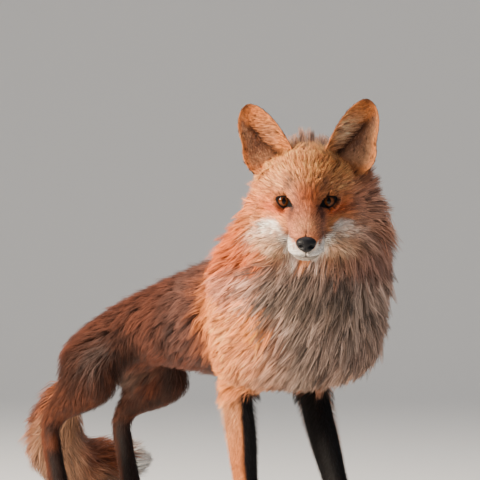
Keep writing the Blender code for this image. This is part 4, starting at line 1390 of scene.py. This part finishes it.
def build_fox():
    points, triangles, codes, depth = build_skin()
    edges = edges_of(triangles)
    normals = normals_of(points, triangles)
    # how much each point takes of a part's markings and lie of hair: they fade over the joins
    blend = {part: is_part(codes, part) for part in ("head", "neck", "tail")}
    blend["foreleg"] = is_part(codes, "foreleg", "forepaw")
    blend["hindleg"] = is_part(codes, "hindleg", "hindpaw")
    blend = {part: relaxed(here.astype(float), edges, 24) for part, here in blend.items()}
    flow = hair_flow(points, normals, codes, edges, blend)
    colour = body_markings(points, normals, edges, blend)
    surface = BVHTree.FromPolygons(points.tolist(), triangles.tolist())

    shade = 0.9 - 0.45 * ramp(0.002, 0.009, depth)  # less light reaches the skin where the coat is long
    parts = [(points, triangles, colour * shade[:, None])]
    ears = {}
    for name, shape in EARS.items():
        ear_points, ear_triangles, place, tip, outer = build_ear(*shape)
        ear_colour = ear_markings(place, EAR_LINING_LIGHT[name])
        ears[name] = (ear_points, ear_triangles, place, tip, outer, ear_colour)
        parts.append((ear_points, ear_triangles, layered(ear_colour, (TAN, ramp(0.1, -0.04, place[:, 1])))))
    rim_points, rim_triangles = lid_rims(surface)
    parts.append((rim_points, rim_triangles, np.tile(LID_RIM, (len(rim_points), 1))))
    starts = np.cumsum([0] + [len(part[0]) for part in parts])
    all_triangles = np.concatenate([part[1] + start for part, start in zip(parts, starts)])
    all_points, all_colours = (np.concatenate([part[k] for part in parts]) for k in (0, 2))
    skin = dressed(mesh_object("skin", all_points, all_triangles, all_colours), skin_material())
    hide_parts(*FLESH, "ear_left", "ear_right")

    fields, bare = hair_fields(points, normals, codes, depth, blend, colour)
    coat_look = coat_material()
    sow_body(coat_look, points, triangles, normals, codes, edges, flow, fields, bare)
    for name, ear in ears.items():
        sow_ear(name, coat_look, *ear)
    eye_look = eye_material()
    for side in SIDES:
        eye(side, eye_look)
    nose_pad()
    whiskers(surface)
    paw_claws()


# ---- Floor, light and camera ----
def backdrop():
    """A floor that curves up into a wall, far behind the fox, square to the camera."""
    start, bend, radius, top, half_width = -6, 3, 3, 8, 9
    run = np.linspace(start, bend, 20, endpoint=False)
    turn = np.linspace(0, pi / 2, 21)
    away = np.concatenate((run, bend + radius * np.sin(turn), (bend + radius,)))
    high = np.concatenate((0 * run, radius * (1 - np.cos(turn)), (top,)))
    flat = [x * ACROSS + away[:, None] * BACKWARD + high[:, None] * UP for x in (-half_width, half_width)]
    k, count = np.arange(len(away) - 1), len(away)
    faces = np.concatenate((tri(k, k + count, k + 1), tri(k + 1, k + count, k + count + 1)))
    made = mesh_object("studio", np.concatenate(flat), faces)
    mat, tree, shader = material("studio_paper", 0.85, (0.86, 0.85, 0.84), Specular_IOR_Level=0.2)
    add_bump(tree, shader, add_noise(tree, 60, 4), 0.05, 0.001)
    made.data.materials.append(mat)


def place_object(name, data, place, target):
    """A lamp or camera that looks at its target."""
    made = bpy.data.objects.new(name, data)
    bpy.context.scene.collection.objects.link(made)
    made.location = place
    made.rotation_mode = "QUATERNION"
    made.rotation_quaternion = (Vector(target) - made.location).to_track_quat("-Z", "Y")
    return made


def lamp(name, place, size, power, colour):
    data = bpy.data.lights.new(name, "AREA")
    data.shape = "DISK"
    data.size = size
    data.energy = power
    data.color = colour
    place_object(name, data, place, (0, 0, 0.25))


def light():
    lamp("key", FACE_ORIGIN + (-2.05 * ACROSS - 1.1 * BACKWARD + 1.05 * UP), 0.8, 240, (1, 0.87, 0.7))
    lamp("fill", FACE_ORIGIN + (1.9 * ACROSS - 1.6 * BACKWARD + 0.9 * UP), 1.6, 7, (0.66, 0.82, 1))
    lamp("top", (0.1, 0.3, 2.4), 1.8, 22, (1, 0.97, 0.93))
    world = bpy.data.worlds.new("studio")
    bpy.context.scene.world = world
    world.use_nodes = True
    sky = world.node_tree.nodes["Background"].inputs
    sky["Color"].default_value = (0.76, 0.86, 1, 1)
    sky["Strength"].default_value = 0.27


def set_camera():
    """4 m away and level with the fox's head, with a long lens that frames its head and shoulders high."""
    aim = Vector(FACE_ORIGIN + np.array((-0.056, 0.047, -0.043)))
    place = aim + 4.0 * Vector((-0.643, -0.766, 0)).normalized()
    place.z = 0.385
    data = bpy.data.cameras.new("camera")
    data.lens = 272.7
    data.sensor_width = 36
    data.clip_end = 60
    bpy.context.scene.camera = place_object("camera", data, place, aim)


build_fox()
backdrop()
light()
set_camera()
